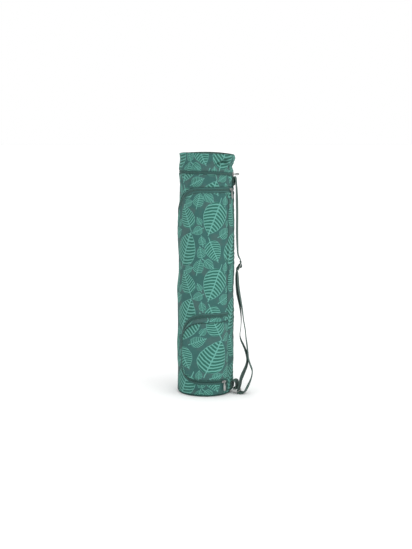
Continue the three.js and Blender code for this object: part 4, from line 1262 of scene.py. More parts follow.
def webbing_material():
    """Ribbed webbing: lengthwise ribs and fine weft, with painted shade in their grooves, painted light
    on their crests and painted shade at its borders
    """
    material, tree, surface = new_material("webbing")
    place = cloth_map(tree)
    parts = tree.nodes.new("ShaderNodeSeparateXYZ")
    tree.links.new(place, parts.inputs[0])
    ribs = math_node(tree, "SINE", times(tree, parts.outputs[0], 2 * math.pi / 0.0025))
    slant = math_node(tree, "MULTIPLY_ADD", math_node(tree, "PINGPONG", parts.outputs[0], 0.0025), 0.9,
                      parts.outputs[1])
    picks = math_node(tree, "SINE", times(tree, slant, 2 * math.pi / 0.0012))
    height = plus(tree, times(tree, ribs, 0.35), times(tree, picks, 0.5))
    weave = use_group(tree, TREES["weave"], Cloth=place, Threads=WEBBING_THREADS)
    colour = colours().webbing
    # Painted shade in the grooves between ribs and picks and painted light on their crests: the colour
    # follows the relief
    dark, light = tuple(c * 0.74 for c in colour), tuple(c * 1.16 for c in colour)
    share = ramp_node(tree, height, -0.8, 0.8)
    base = mix_colour(tree, share, dark, light)
    # Random tone, and painted shade from the mesh's attribute
    worn = use_group(tree, TREES["worn"], Colour=base, Tone=weave.outputs["Tone"],
                     Crease=painted_shade_map(tree), Amount=0.45)
    set_inputs(tree, surface, Base_Color=worn.outputs["Colour"], Roughness=0.85, Sheen_Weight=0.05)
    bump(tree, surface, height, 0.45, 0.0003)
    return material


def nickel_material():
    """Bright nickel with fine scratches and a duller bloom"""
    material, tree, surface = new_material("nickel")
    place = tree.nodes.new("ShaderNodeTexCoord").outputs["Object"]
    scratches = noise_node(tree, stretched(tree, place, (900.0, 700.0, 60.0)), 1.0, 3.0, 0.7)
    bloom = noise_node(tree, place, 130.0, 2.0)
    set_inputs(tree, surface, Metallic=1.0,
               Base_Color=mix_colour(tree, bloom, (0.30, 0.31, 0.30), (0.45, 0.46, 0.45)),
               Roughness=ramp_node(tree, scratches, 0.3, 0.75, 0.20, 0.42))
    bump(tree, surface, scratches, 0.12, 0.0001)
    return material


class MATBAG_OT_materials(bpy.types.Operator):
    """Make the bag's finishes and the trees that sew and tooth it"""

    bl_idname = "matbag.materials"
    bl_label = "Finishes"

    def execute(self, context):
        tones = colours()
        TREES["weave"] = weave_group()
        TREES["worn"] = worn_group()
        leaf_print = print_group()
        MATERIALS["printed"] = woven_material("printed_canvas", tones.ground, CANVAS_THREADS, 0.34,
                                              printed=leaf_print)
        MATERIALS["reverse"] = woven_material("canvas_reverse", tones.reverse, CANVAS_THREADS, 0.3)
        MATERIALS["plain"] = woven_material("plain_canvas", tones.plain, CANVAS_THREADS, 0.35)
        MATERIALS["tape"] = woven_material("zip_tape_cloth", tones.tape, TAPE_THREADS, 0.3,
                                           roughness=0.8, sheen=0.1)
        MATERIALS["thread"], MATERIALS["coil"] = thread_materials()
        MATERIALS["webbing"] = webbing_material()
        MATERIALS["nickel"] = nickel_material()
        TREES["stitch"] = stitch_tree()
        TREES["coil"] = coil_tree()
        return {"FINISHED"}


def canvas():
    """Printed on its outer side and bare on its inner side"""
    return [MATERIALS["printed"], MATERIALS["reverse"]]


def stitches(name, paths, closed=False, slot="plain_cloth"):
    """Rows of stitches along paths, joined in one piece"""
    row = grown(name, paths, TREES["stitch"], {
        "Pitch": sizes().stitch, "Thread": sizes().thread, "Material": MATERIALS["thread"]}, closed)
    return carried(row, slot)


class MATBAG_OT_tube(bpy.types.Operator):
    """Make the four panels of the tube with their turned edges, and their rows of stitches"""

    bl_idname = "matbag.tube"
    bl_label = "Tube"

    def execute(self, context):
        made = panels()
        for name, (cloth, shift) in made.items():
            piece = carried(cloth.build(f"{name}_cloth", canvas(), shift), "printed_cloth", name)
        step = TOPSTITCHED["stitch"]
        far = MAIN_TAPE / 2 + GAP + step
        front, side = made["front_panel"][0], made["side_panel"][0]
        upper, back = made["upper_panel"][0], made["back_panel"][0]
        under_front = main_zip_line(-far, straight_zip_turns(SEAM_TURN - turn_of(ROW_END)))
        foot = pairs(under_front[0, 0], np.linspace(panel_foot() + ROW_FOOT, under_front[0, 1], 90)[:-1])
        under_side = pairs(graded_turns(SEAM_TURN + turn_of(ROW_END), BACK_SEAM_TURN - turn_of(ROW_END)),
                           main_zip_height() - far)
        over = main_zip_line(far, straight_zip_turns(BACK_SEAM_TURN - turn_of(ROW_END)))
        band = -COLLAR_TAPE / 2 - GAP - step
        band_front = band_edge(over[1:, 0], band)
        back_turns = np.linspace(BACK_SEAM_TURN + BACK_ROW_ENDS[0],
                                 MAIN_SIDE_TURN + 360 - BACK_ROW_ENDS[1], 120)
        rows = [
            front.row(np.concatenate([foot, under_front])),
            side.row(under_side), upper.row(over),
            upper.row(band_front), back.row(band_edge(back_turns, band)),
        ]
        stitches("tube_stitches", rows)
        return {"FINISHED"}


class MATBAG_OT_collar(bpy.types.Operator):
    """Make the gathered collar with its hem and its two rows of stitches"""

    bl_idname = "matbag.collar"
    bl_label = "Collar"

    def execute(self, context):
        cloth = collar_cloth()
        piece = cloth.build("collar_cloth", canvas(), (0.047, 0.102), closed=True)
        carried(piece, "printed_cloth", "collar")
        turns = round_turns()
        low = band_edge(turns, COLLAR_TAPE / 2 + GAP + TOPSTITCHED["stitch"])
        high = pairs(turns, rim_height(turns) - HEMMED["stitch"])
        stitches("collar_stitches", [cloth.row(low), cloth.row(high)],
                 closed=True)
        return {"FINISHED"}


class MATBAG_OT_pocket(bpy.types.Operator):
    """Make the pocket's front and gusset with the stitches on their borders"""

    bl_idname = "matbag.pocket"
    bl_label = "Pocket"

    def execute(self, context):
        gusset, front = pocket_cloths()
        piece = gusset.build("pocket_gusset_cloth", canvas(), (0.120, 0.060))
        carried(piece, "printed_cloth", "pocket_gusset")
        piece = front.build("pocket_front_cloth", canvas(), (0.088, 0.115))
        carried(piece, "printed_cloth", "pocket_front")
        inset = [GUSSET_INSET + width + GAP + BOUND["stitch"] for width in GUSSET]
        stitches("pocket_stitches", [
            front.row(pocket_loop(*inset)),
            gusset.row(pocket_loop(*[GUSSET_INSET + BOUND["stitch"]] * 3))])
        return {"FINISHED"}


TAIL_TURNS = (42.2, 48.6)
TAIL_HEIGHTS = (0.0125, 0.0385)
TAIL_LIFT = 0.0024
TAIL_SLOPE = 0.0016
TAIL_ROW = ((43.4, 0.0160), (47.4, 0.0345))


def zip_tail():
    """The doubled end of the pocket's zip tape, which hangs below the zip beside the seam"""
    turns = graded_turns(*TAIL_TURNS, step=0.0012)
    share = (turns - turns[0]) / (turns[-1] - turns[0])
    low = TAIL_HEIGHTS[0] + TAIL_SLOPE * np.abs(2 * share - 1) ** 3
    lower, upper = pairs(turns, low), pairs(turns, TAIL_HEIGHTS[1])
    rim = np.concatenate([upper[:1], lower, upper[::-1]])

    def lift(turn, z):
        down = np.clip((TAIL_HEIGHTS[1] - z) / (TAIL_HEIGHTS[1] - TAIL_HEIGHTS[0]), 0, 1)
        return TAIL_LIFT + TAIL_SLOPE * down * down

    return Cloth(lower, upper, [(rim, BOUND)], lift=lift)


class MATBAG_OT_zips(bpy.types.Operator):
    """Make the tapes and teeth of the three zips"""

    bl_idname = "matbag.zips"
    bl_label = "Zips"

    def execute(self, context):
        pocket_lift = SEAT_GAP + TAPE_WALL
        for name, line_at, half, lift, tooth, closed in (
                ("main_zip", main_zip_at, MAIN_TAPE / 2, 0.0, 0.0030, False),
                ("collar_zip", collar_zip_at, COLLAR_TAPE / 2, 0.0, 0.0018, True),
                ("pocket_zip", pocket_zip_at, POCKET_TAPE / 2, pocket_lift, 0.0024, False)):
            tape = zip_tape(line_at, half, lift, f"{name}_woven_tape", closed)
            carried(tape, "zip_tape", f"{name}_tape")
            path = zip_path(line_at(0.0), lift - TOOTH_SINK)
            teeth = grown(f"{name}_teeth", [path], TREES["coil"], {
                "Pitch": sizes().tooth, "Tooth": tooth, "Thickness": TOOTH_THICKNESS,
                "Material": MATERIALS["coil"]}, closed)
            carried(teeth, "zip_tape")
        tail = zip_tail()
        carried(tail.build("pocket_zip_tail", [MATERIALS["plain"], MATERIALS["plain"]]), "zip_tape")
        path = np.linspace(*TAIL_ROW, 24)
        stitches("pocket_zip_tail_stitches", [tail.row(path)])
        return {"FINISHED"}


class MATBAG_OT_base(bpy.types.Operator):
    """Make the round base and the piping round its edge"""

    bl_idname = "matbag.base"
    bl_label = "Base"

    def execute(self, context):
        turns = round_turns(144)
        rim = skin(turns, PIPING / 2) + PIPING_STANDOFF - PIPING - GAP
        rings = np.array([0.06, 0.14, 0.24, 0.35, 0.46, 0.57, 0.68, 0.78, 0.86, 0.92, 0.96, 0.985, 1.0])
        distance = rim[:, None] * rings
        turn = np.broadcast_to(turns[:, None], distance.shape)
        slack = BASE_SLACK * (1 + np.cos(5 * np.radians(turn) + 40 * distance)) * (1 - rings ** 6)
        top = on_turn(turn, distance, BASE_TOP - slack - 0.0005 * (rings > 0.99))
        bottom = on_turn(turn, distance, 0.0004 * (rings > 0.99))
        count, depth = distance.shape
        points = np.concatenate([top.reshape(-1, 3), bottom.reshape(-1, 3),
                                 [[0, 0, BASE_MIDDLE], [0, 0, 0]]])
        grid = np.arange(count * depth).reshape(count, depth)
        after = np.roll(grid, -1, 0)
        upper = np.stack([grid[:, :-1], grid[:, 1:], after[:, 1:], after[:, :-1]], -1).reshape(-1, 4)
        wall = np.stack([grid[:, -1], grid[:, -1] + count * depth, after[:, -1] + count * depth,
                         after[:, -1]], -1)
        faces = np.concatenate([upper, upper[:, ::-1] + count * depth, wall]).tolist()
        centre = 2 * count * depth
        faces += [[centre, int(a), int(b)] for a, b in zip(grid[:, 0], after[:, 0])]
        faces += [[centre + 1, int(b) + count * depth, int(a) + count * depth]
                  for a, b in zip(grid[:, 0], after[:, 0])]
        base = new_object("base_cloth", points, faces, [MATERIALS["plain"]])
        set_flat_map(base, points[:, :2])
        set_shade(base, np.zeros(len(points)))
        carried(base, "plain_cloth", "base_panel")
        carried(self.piping(), "plain_cloth", "base_piping")
        return {"FINISHED"}

    def piping(self):
        """A cord in a bias strip, which crinkles a little"""
        turns = round_turns(360)
        angles = np.linspace(0, 2 * math.pi, 14, endpoint=False)
        half = PIPING / 2 - 0.0003
        middle = skin(turns, PIPING / 2) + PIPING_STANDOFF - PIPING / 2
        crinkle = 0.00012 * np.sin(np.radians(turns) * 97)[:, None] * np.sin(angles * 2)[None]
        size = half + crinkle
        distance = middle[:, None] + size * np.cos(angles)
        z = PIPING / 2 + 0.0001 + size * np.sin(angles)
        points = on_turn(turns[:, None], distance, z)
        grid = np.arange(points.shape[0] * points.shape[1]).reshape(points.shape[:2])
        after, above = np.roll(grid, -1, 0), np.roll(grid, -1, 1)
        faces = np.stack([grid, after, np.roll(after, -1, 1), above], -1).reshape(-1, 4)
        obj = new_object("base_piping_cord", points, faces, [MATERIALS["plain"]])
        places = np.stack(np.broadcast_arrays(
            np.radians(turns)[:, None] * RADIUS, (angles * half)[None]), -1).reshape(-1, 2)
        set_flat_map(obj, places)
        set_shade(obj, np.zeros(len(places)))
        return obj


# Strap and tab

def strap_curve(points, share):
    """A centripetal Catmull-Rom curve through points, at a share of its spans"""
    spans = len(points) - 1
    reach = np.clip(np.asarray(share) * spans, 0, spans - 1e-9)
    first = reach.astype(int)
    weight = (reach - first)[:, None]
    padded = np.concatenate([[2 * points[0] - points[1]], points, [2 * points[-1] - points[-2]]])
    p0, p1, p2, p3 = (padded[first + k] for k in range(4))
    d0, d1, d2 = (np.maximum(((b - a) ** 2).sum(1) ** 0.25, 1e-4)[:, None]
                  for a, b in ((p0, p1), (p1, p2), (p2, p3)))
    t1 = ((p1 - p0) / d0 - (p2 - p0) / (d0 + d1) + (p2 - p1) / d1) * d1
    t2 = ((p2 - p1) / d1 - (p3 - p1) / (d1 + d2) + (p3 - p2) / d2) * d1
    return (p1 + t1 * weight + (3 * (p2 - p1) - 2 * t1 - t2) * weight ** 2
            + (2 * (p1 - p2) + t1 + t2) * weight ** 3)


def webbing(name, route, step=0.0014):
    """A ribbed band along a route of places and yaws"""
    points = np.array([place for place, _ in route], float)
    yaws = np.array([yaw for _, yaw in route], float)
    dense = np.linspace(0, 1, 6000)
    line = strap_curve(points, dense)
    length = np.concatenate([[0], np.cumsum(np.linalg.norm(np.diff(line, axis=0), axis=1))])
    count = round(length[-1] / step)
    at = np.linspace(0, length[-1], count + 1)
    share = np.interp(at, length, dense)
    centre = strap_curve(points, share)
    small = 2e-4
    along = (strap_curve(points, np.minimum(share + small, 1))
             - strap_curve(points, np.maximum(share - small, 0)))
    along /= np.linalg.norm(along, axis=1)[:, None]
    yaw = np.radians(np.interp(share * (len(route) - 1), np.arange(len(route)), yaws))
    side = np.stack([np.sin(yaw), np.cos(yaw), np.zeros_like(yaw)], 1)
    side -= (side * along).sum(1)[:, None] * along
    side /= np.linalg.norm(side, axis=1)[:, None]
    face = np.cross(along, side)

    width, half = sizes().strap_width / 2, sizes().strap_thickness / 2
    across = np.linspace(-1, 1, 4 * WEBBING_RIBS + 1)
    relief = RIB_DEPTH * np.cos(across * math.pi * WEBBING_RIBS)
    border = half * (1 - 0.55 * np.clip((np.abs(across) - 0.955) / 0.045, 0, 1) ** 2) - RIB_DEPTH
    upper = np.stack([across * width, border + relief], 1)
    lower = np.stack([across[::-1] * width, -(border + relief)[::-1]], 1)
    section = np.concatenate([upper, lower])
    pick = PICK_DEPTH * np.cos(at * 2 * math.pi / PICK_LENGTH)
    height = section[None, :, 1:] + np.sign(section[None, :, 1:]) * pick[:, None, None]
    body = centre[:, None] + side[:, None] * section[None, :, :1] + face[:, None] * height
    stations, corners = body.shape[:2]
    grid = np.arange(stations * corners).reshape(stations, corners)
    after = np.roll(grid, -1, 1)
    faces = np.stack([grid[:-1], grid[1:], after[1:], after[:-1]], -1).reshape(-1, 4).tolist()
    for row, flip in ((0, False), (stations - 1, True)):
        for k in range(len(across) - 1):
            cap = [grid[row, k], grid[row, k + 1], grid[row, corners - 2 - k], grid[row, corners - 1 - k]]
            faces.append([int(c) for c in (cap[::-1] if flip else cap)])
    obj = new_object(name, body, faces, [MATERIALS["webbing"]])
    places = np.stack(np.broadcast_arrays(section[None, :, 0], at[:, None]), -1).reshape(-1, 2)
    set_flat_map(obj, places)
    # Painted shade along the webbing's two borders
    shade = np.broadcast_to(0.35 * (np.abs(section[:, 0]) > width * 0.97), (stations, corners))
    set_shade(obj, shade)
    return obj


def by_adjuster(down, outward):
    lean = math.radians(ADJUSTER_LEAN)
    middle = np.array([RADIUS + ADJUSTER_OUT, -ADJUSTER_FORE, ADJUSTER_HEIGHT])
    down_way = np.array([-math.sin(lean), 0, -math.cos(lean)])
    out_way = np.array([math.cos(lean), 0, -math.sin(lean)])
    return middle + down_way * down + out_way * outward


def strap_run(table, low, high):
    width = sizes().strap_width
    return [((RADIUS + row["out"] * STRAP_REACH, -row["fore"] * width, low + (high - low) * row["at"]),
             row["yaw"]) for row in table]


def ring_plane(out, z):
    angle = math.radians(RING_TURN)
    return np.array([out * math.sin(angle), -out * math.cos(angle), z])


def ring_bars():
    """The ring's bar in the tab and its bar in the strap: distance from the axis and height"""
    pitch = RING_SLOT + RING_WIRE
    lean = math.radians(RING_LEAN)
    tab = (float(skin(RING_TURN, RING_HEIGHT)) + RING_OUT, RING_HEIGHT)
    return tab, (tab[0] + pitch * math.cos(lean), tab[1] - pitch * math.sin(lean))


def strap_route():
    """From the sewn foot, over its arch, through the adjuster, round the ring and back to its hook"""
    half = sizes().strap_thickness / 2
    thick = sizes().strap_thickness
    top = sizes().tube_height
    foot_z, arch_z = top - STRAP_FOOT_DROP, top - STRAP_ARCH_DROP

    def on_side(z, standoff):
        distance = float(skin(STRAP_TURN, z)) + SEAT_GAP + half + standoff
        return on_turn(STRAP_TURN, distance, z), 90 - STRAP_TURN

    foot = [
        on_side(foot_z, STRAP_FOOT_LIFT), on_side((foot_z + arch_z) / 2, STRAP_FOOT_LIFT),
        on_side(arch_z, STRAP_FOOT_LIFT), on_side(arch_z + STRAP_ARCH_RISE * 0.45, STRAP_ARCH_RISE * 0.5),
        on_side(arch_z, STRAP_ARCH_RISE),
    ]
    layer = thick + GAP
    beside = ADJUSTER_PLATE / 2 + GAP + half
    over = beside + layer
    through = [(by_adjuster(down, outward), 0) for down, outward in (
        (-BAR_PITCH - BAR, -beside), (-BAR_PITCH, -beside - GAP), (-BAR_PITCH + BAR * 0.9, -beside),
        (-BAR_PITCH * 0.56, beside * 0.3), (-BAR * 1.4, over - layer * 0.3), (-BAR / 2, over + GAP),
        (BAR * 0.6, over), (BAR_PITCH * 0.45, beside * 0.6), (BAR_PITCH - BAR * 0.9, -beside),
        (BAR_PITCH, -beside - GAP), (BAR_PITCH + BAR, -beside))]
    wrap = RING_WIRE / 2 + GAP + half
    _, (bar_out, bar_z) = ring_bars()
    round_bar = [(ring_plane(bar_out + wrap * math.cos(math.radians(angle)),
                             bar_z + wrap * math.sin(math.radians(angle))), 90 - RING_TURN)
                 for angle in RING_WRAP]
    corner = (GAP + half) * 0.75
    hook = [(by_adjuster(down, outward), 0) for down, outward in (
        (BAR_PITCH + BAR, -over), (BAR_PITCH, -over - GAP), (BAR_PITCH / 2, -over + layer * 0.4),
        (0, -beside), (-BAR / 2 - corner, -ADJUSTER_PLATE / 2 - corner), (-BAR / 2 - GAP - half, 0),
        (-BAR / 2 - corner, ADJUSTER_PLATE / 2 + corner), (0, beside))]
    return (foot + strap_run(UPPER_RUN, ADJUSTER_HEIGHT, arch_z) + through
            + strap_run(OUTER_RUN, 0, ADJUSTER_HEIGHT) + round_bar
            + strap_run(INNER_RUN, 0, ADJUSTER_HEIGHT) + hook)


def tab_route():
    """Up from the base seam, out over an arch, and round the ring's near bar"""
    half = sizes().strap_thickness / 2
    wrap = RING_WIRE / 2 + GAP + half
    (bar_out, bar_z), _ = ring_bars()

    def on_side(z):
        return float(skin(RING_TURN, z)) + SEAT_GAP + half

    arch = (bar_out + wrap - on_side(TAB_ARCH)) / 2
    middle = on_side(TAB_ARCH) + arch
    between_z = (TAB_FOOT + TAB_ARCH) / 2
    places = [
        (on_side(TAB_FOOT), TAB_FOOT), (on_side(between_z), between_z), (on_side(TAB_ARCH), TAB_ARCH),
        (middle - arch * 0.7, TAB_ARCH + arch * 0.5), (middle, TAB_ARCH + arch * 0.7),
        (middle + arch * 0.7, TAB_ARCH + arch * 0.4), (bar_out + wrap, TAB_ARCH - arch * 0.3),
        (bar_out + wrap, bar_z + wrap), (bar_out + wrap, bar_z),
        (bar_out + wrap * 0.7, bar_z - wrap * 0.7),
        (bar_out, bar_z - wrap), (bar_out - wrap * 0.7, bar_z - wrap * 0.7), (bar_out - wrap, bar_z),
        (bar_out - wrap, bar_z + wrap * 1.6),
    ]
    return [(ring_plane(out, z), 90 - RING_TURN) for out, z in places]


def box_row(turn, low, high, half_width, lift):
    """A stitched box with a cross, on a strap's sewn foot"""
    middle = (low + high) / 2

    def place(across, z):
        base = on_turn(turn, float(skin(turn, middle)) + lift, z)
        way = np.array([math.cos(math.radians(turn)), math.sin(math.radians(turn)), 0])
        return base + way * across

    corners = [(-half_width, low), (half_width, low), (half_width, high), (-half_width, high),
               (-half_width, low), (half_width, high)]
    points = []
    for (a, b), (c, d) in zip(corners, corners[1:]):
        points += [place(a + (c - a) * t, b + (d - b) * t) for t in np.linspace(0, 1, 12)[:-1]]
    points.append(place(*corners[-1]))
    points = np.array(points)
    return points, np.broadcast_to(on_turn(turn, 1.0, 0.0), points.shape)


class MATBAG_OT_strap(bpy.types.Operator):
    """Make the shoulder strap and the tab of ribbed webbing, with the stitches that hold them"""

    bl_idname = "matbag.strap"
    bl_label = "Strap"

    def execute(self, context):
        carried(webbing("shoulder_strap_webbing", strap_route()), "webbing", "shoulder_strap")
        carried(webbing("strap_tab_webbing", tab_route()), "webbing", "strap_tab")
        thick = sizes().strap_thickness
        inset = sizes().strap_width / 2 - BOX_INSET
        top = sizes().tube_height
        lift = SEAT_GAP + thick + 0.0002
        stitches("strap_stitches", [
            box_row(STRAP_TURN, top - STRAP_FOOT_DROP + BOX_INSET, top - STRAP_ARCH_DROP - STRAP_BOX_DROP,
                    inset, lift + STRAP_FOOT_LIFT),
            box_row(RING_TURN, TAB_FOOT + BOX_INSET, TAB_ARCH - TAB_BOX_DROP, inset, lift)],
            slot="webbing")
        return {"FINISHED"}


# Metal parts

def extruded(name, outline, holes, low, high, place, bevel):
    """A plate between two heights from an outline with holes, placed by a matrix, with soft edges"""
    curve = bpy.data.curves.new(name, "CURVE")
    curve.dimensions = "2D"
    curve.fill_mode = "BOTH"
    curve.extrude = (high - low) / 2 - bevel
    curve.bevel_depth = bevel
    curve.bevel_resolution = 2
    curve.offset = -bevel
    for loop in [outline, *holes]:
        spline = curve.splines.new("POLY")
        spline.points.add(len(loop) - 1)
        for point, (x, y) in zip(spline.points, loop):
            point.co = (x, y, 0, 1)
        spline.use_cyclic_u = True
    source = bpy.data.objects.new(name, curve)
    bpy.context.scene.collection.objects.link(source)
    evaluated = source.evaluated_get(bpy.context.evaluated_depsgraph_get())
    mesh = bpy.data.meshes.new_from_object(evaluated)
    bpy.data.objects.remove(source)
    mesh.transform(place @ Matrix.Translation((0, 0, (low + high) / 2)))
    return mesh


def rounded(points, radius, steps=5):
    """A closed outline with its corners rounded"""
    out = []
    count = len(points)
    for i, corner in enumerate(points):
        corner = Vector(corner)
        before, after = Vector(points[i - 1]), Vector(points[(i + 1) % count])
        reach = min(radius, (before - corner).length * 0.45, (after - corner).length * 0.45)
        start = corner + (before - corner).normalized() * reach
        end = corner + (after - corner).normalized() * reach
        for k in range(steps + 1):
            t = k / steps
            out.append(tuple((1 - t) ** 2 * start + 2 * t * (1 - t) * corner + t * t * end))
    return out


def wire_mesh(points, diameter, closed, sides=12):
    """A round wire through points, with a frame carried along it"""
    points = np.asarray(points, float)
    count = len(points)
    before = np.roll(points, 1, 0) if closed else points[np.maximum(np.arange(count) - 1, 0)]
    after = np.roll(points, -1, 0) if closed else points[np.minimum(np.arange(count) + 1, count - 1)]
    along = after - before
    along /= np.linalg.norm(along, axis=1)[:, None]
    normal = np.linalg.svd(points - points.mean(0))[2][-1]
    across = np.cross(along, normal)
    across /= np.linalg.norm(across, axis=1)[:, None]
    angles = np.linspace(0, 2 * math.pi, sides, endpoint=False)
    body = (points[:, None] + diameter / 2 * (np.cos(angles)[None, :, None] * across[:, None]
            + np.sin(angles)[None, :, None] * normal[None, None]))
    grid = np.arange(count * sides).reshape(count, sides)
    after_side = np.roll(grid, -1, 1)
    if closed:
        faces = np.stack([grid, after_side, np.roll(after_side, -1, 0), np.roll(grid, -1, 0)], -1)
    else:
        faces = np.stack([grid[:-1], after_side[:-1], after_side[1:], grid[1:]], -1)
    faces = faces.reshape(-1, 4).tolist()
    if not closed:
        faces.append([int(i) for i in grid[0][::-1]])
        faces.append([int(i) for i in grid[-1]])
    return body.reshape(-1, 3), faces


def metal_piece(name, meshes, node):
    """Joins meshes in one nickel piece that stands for a node"""
    points, faces = [], []
    for part in meshes:
        if isinstance(part, bpy.types.Mesh):
            vertices = np.empty(len(part.vertices) * 3)
            part.vertices.foreach_get("co", vertices)
            vertices, polygons = vertices.reshape(-1, 3), [list(p.vertices) for p in part.polygons]
        else:
            vertices, polygons = part
        first = sum(len(p) for p in points)
        points.append(vertices)
        faces += [[first + i for i in polygon] for polygon in polygons]
    obj = new_object(name, np.concatenate(points), faces, [MATERIALS["nickel"]])
    tidy_mesh(obj)
    return carried(obj, "nickel", node)


def tidy_mesh(obj):
    """Doubles merged, faces outwards, hard edges kept sharp"""
    work = bmesh.new()
    work.from_mesh(obj.data)
    bmesh.ops.remove_doubles(work, verts=work.verts, dist=1e-6)
    bmesh.ops.recalc_face_normals(work, faces=work.faces)
    for edge in work.edges:
        if len(edge.link_faces) == 2 and edge.calc_face_angle() > math.radians(50):
            edge.smooth = False
    work.to_mesh(obj.data)
    work.free()


SLIDER = dict(length=0.012, width=0.008, thickness=0.003)
BRIDGE = dict(wire=0.0013, span=0.0054, bend=0.0016)
PULL = dict(length=0.026, width=0.007, thickness=0.0012, eye_width=0.0034, eye_length=0.0038,
            hole=0.0024)
BRIDGE_RISE = PULL["thickness"] + 2 * GAP + BRIDGE["wire"]

# Sliders: start of the node's name, turn, lift above the skin, roll about the outward way, and
# swing of the pull
ZIP_ENDS = named_rows(
    "name turn lift roll swing",
    ("main_zip", MAIN_SLIDER_TURN, 0.0, 0.0, 4.0),
    ("pocket_zip", POCKET_SLIDER_TURN, SEAT_GAP + TAPE_WALL, 0.0, 4.0),
    ("collar_zip", COLLAR_SLIDER_TURN, 0.0, -90.0, COLLAR_PULL_LIFT))


def zip_end_height(row):
    return {"main_zip": main_zip_height(), "pocket_zip": POCKET_FOOT + POCKET_TAPE / 2,
            "collar_zip": float(seam_height(row["turn"]))}[row["name"]]


def zip_end_seat(row):
    """The slider's own frame: tape along X, outwards -Y"""
    z = zip_end_height(row)
    distance = float(skin(row["turn"], z)) + row["lift"] + SEAT_GAP
    place = Matrix.Translation(Vector(on_turn(row["turn"], distance, z)))
    return place @ Matrix.Rotation(math.radians(row["turn"]), 4, "Z") @ Matrix.Rotation(
        math.radians(row["roll"]), 4, "Y")


def slider_meshes(seat):
    """A slider's two plates, the post between them and the bridge for the pull"""
    half, wide = SLIDER["length"] / 2, SLIDER["width"] / 2
    nose = SLIDER["width"] * 0.36
    outline = rounded([(-half, -nose), (half * 0.5, -wide), (half, -wide * 0.6), (half, wide * 0.6),
                       (half * 0.5, wide), (-half, nose)], 0.0018)
    standing = seat @ Matrix.Rotation(math.pi / 2, 4, "X")
    plate = SLIDER["thickness"] * 0.42
    parts = [extruded("slider_foot", outline, [], 0.0, plate, standing, 0.0004),
             extruded("slider_top", outline, [], SLIDER["thickness"] - plate, SLIDER["thickness"],
                      standing, 0.0004)]
    post = rounded([(-half * 0.95, -0.0012), (-half * 0.2, -0.0007), (-half * 0.2, 0.0007),
                    (-half * 0.95, 0.0012)], 0.0005)
    parts.append(extruded("slider_post", post, [], plate * 0.8, SLIDER["thickness"] - plate * 0.8,
                          standing, 0.0001))
    for side in (-1, 1):
        flange = [(-half * 0.5, side * nose * 1.02), (half * 0.5, side * wide * 0.99),
                  (half * 0.5, side * wide * 0.84), (-half * 0.5, side * nose * 0.86)]
        parts.append(extruded("slider_flange", flange[::side], [], plate * 0.8,
                              SLIDER["thickness"] - plate * 0.8, standing, 0.0001))
    top = SLIDER["thickness"] + BRIDGE_RISE - BRIDGE["wire"] / 2
    foot = SLIDER["thickness"] * 0.7
    span = BRIDGE["span"] / 2
    bend = BRIDGE["bend"]
    leg = [(0, -foot, span)]
    for angle in np.linspace(0, math.pi / 2, 9):
        leg.append((0, bend - top - bend * math.sin(angle), span - bend + bend * math.cos(angle)))
    ring = leg + [(x, y, -z) for x, y, z in leg[::-1]]
    placed = [tuple(seat @ Vector(point)) for point in ring]
    parts.append(wire_mesh(placed, BRIDGE["wire"], False))
    return parts


def pull_meshes(seat, swing):
    """A pull with an eye at its top, a raised rim and a small hole near its foot"""
    bar, half, length = PULL["thickness"], PULL["width"] / 2, PULL["length"]
    shoulder = half * 0.62
    side = [(-shoulder, bar / 2), (-shoulder, -PULL["eye_length"] - bar), (-half, -length * 0.45),
            (-half, -length + half * 0.8), (-half * 0.5, -length)]
    outline = rounded(side + [(-x, y) for x, y in side[::-1]], 0.0012)
    wide, low = PULL["eye_width"] / 2, -bar / 2 - PULL["eye_length"]
    eye = rounded([(-wide, -bar / 2), (wide, -bar / 2), (wide, low), (-wide, low)], 0.0008)
    hole = [(PULL["hole"] / 2 * math.cos(a), -length + half + PULL["hole"] / 2 * math.sin(a))
            for a in np.linspace(0, 2 * math.pi, 24, endpoint=False)]
    hang = -SLIDER["thickness"] - BRIDGE_RISE + BRIDGE["wire"] + GAP + bar / 2
    place = seat @ Matrix.Translation((0, hang, 0)) @ Matrix.Rotation(
        math.radians(-swing), 4, "X") @ Matrix.Rotation(math.pi / 2, 4, "X")
    plate = extruded("pull_plate", outline, [eye, hole], -bar / 2, bar / 2, place, 0.00025)
    inset = [(x * 0.62, -length * 0.62 + (y + length * 0.62) * 0.66) for x, y in outline
             if y < -length * 0.40]
    ridge = extruded("pull_panel", rounded(inset, 0.0006), [], bar / 2 - 0.0003, bar / 2 + 0.00012, place,
                     0.0001)
    return [plate, ridge]


def adjuster_meshes():
    """A frame with three bars, its edges rounded like wire"""
    lean = math.radians(ADJUSTER_LEAN)
    down = Vector((-math.sin(lean), 0, -math.cos(lean)))
    across = Vector((0, 1, 0))
    normal = across.cross(down)
    place = Matrix((
        (across.x, down.x, normal.x, RADIUS + ADJUSTER_OUT),
        (across.y, down.y, normal.y, -ADJUSTER_FORE),
        (across.z, down.z, normal.z, ADJUSTER_HEIGHT),
        (0, 0, 0, 1)))
    slot = sizes().strap_width + 2 * HARDWARE_PLAY
    wide, tall = slot / 2 + SIDE_BAR, BAR_PITCH + BAR / 2
    outline = rounded([(-wide, -tall), (wide, -tall), (wide, tall), (-wide, tall)], SIDE_BAR * 1.2, 8)
    holes = []
    for side in (-1, 1):
        near, far = side * BAR / 2, side * (BAR_PITCH - BAR / 2)
        holes.append(rounded([(-slot / 2, near), (slot / 2, near), (slot / 2, far), (-slot / 2, far)],
                             0.0009))
    return [extruded("adjuster_frame", outline, holes, -ADJUSTER_PLATE / 2, ADJUSTER_PLATE / 2, place,
                     0.0009)]


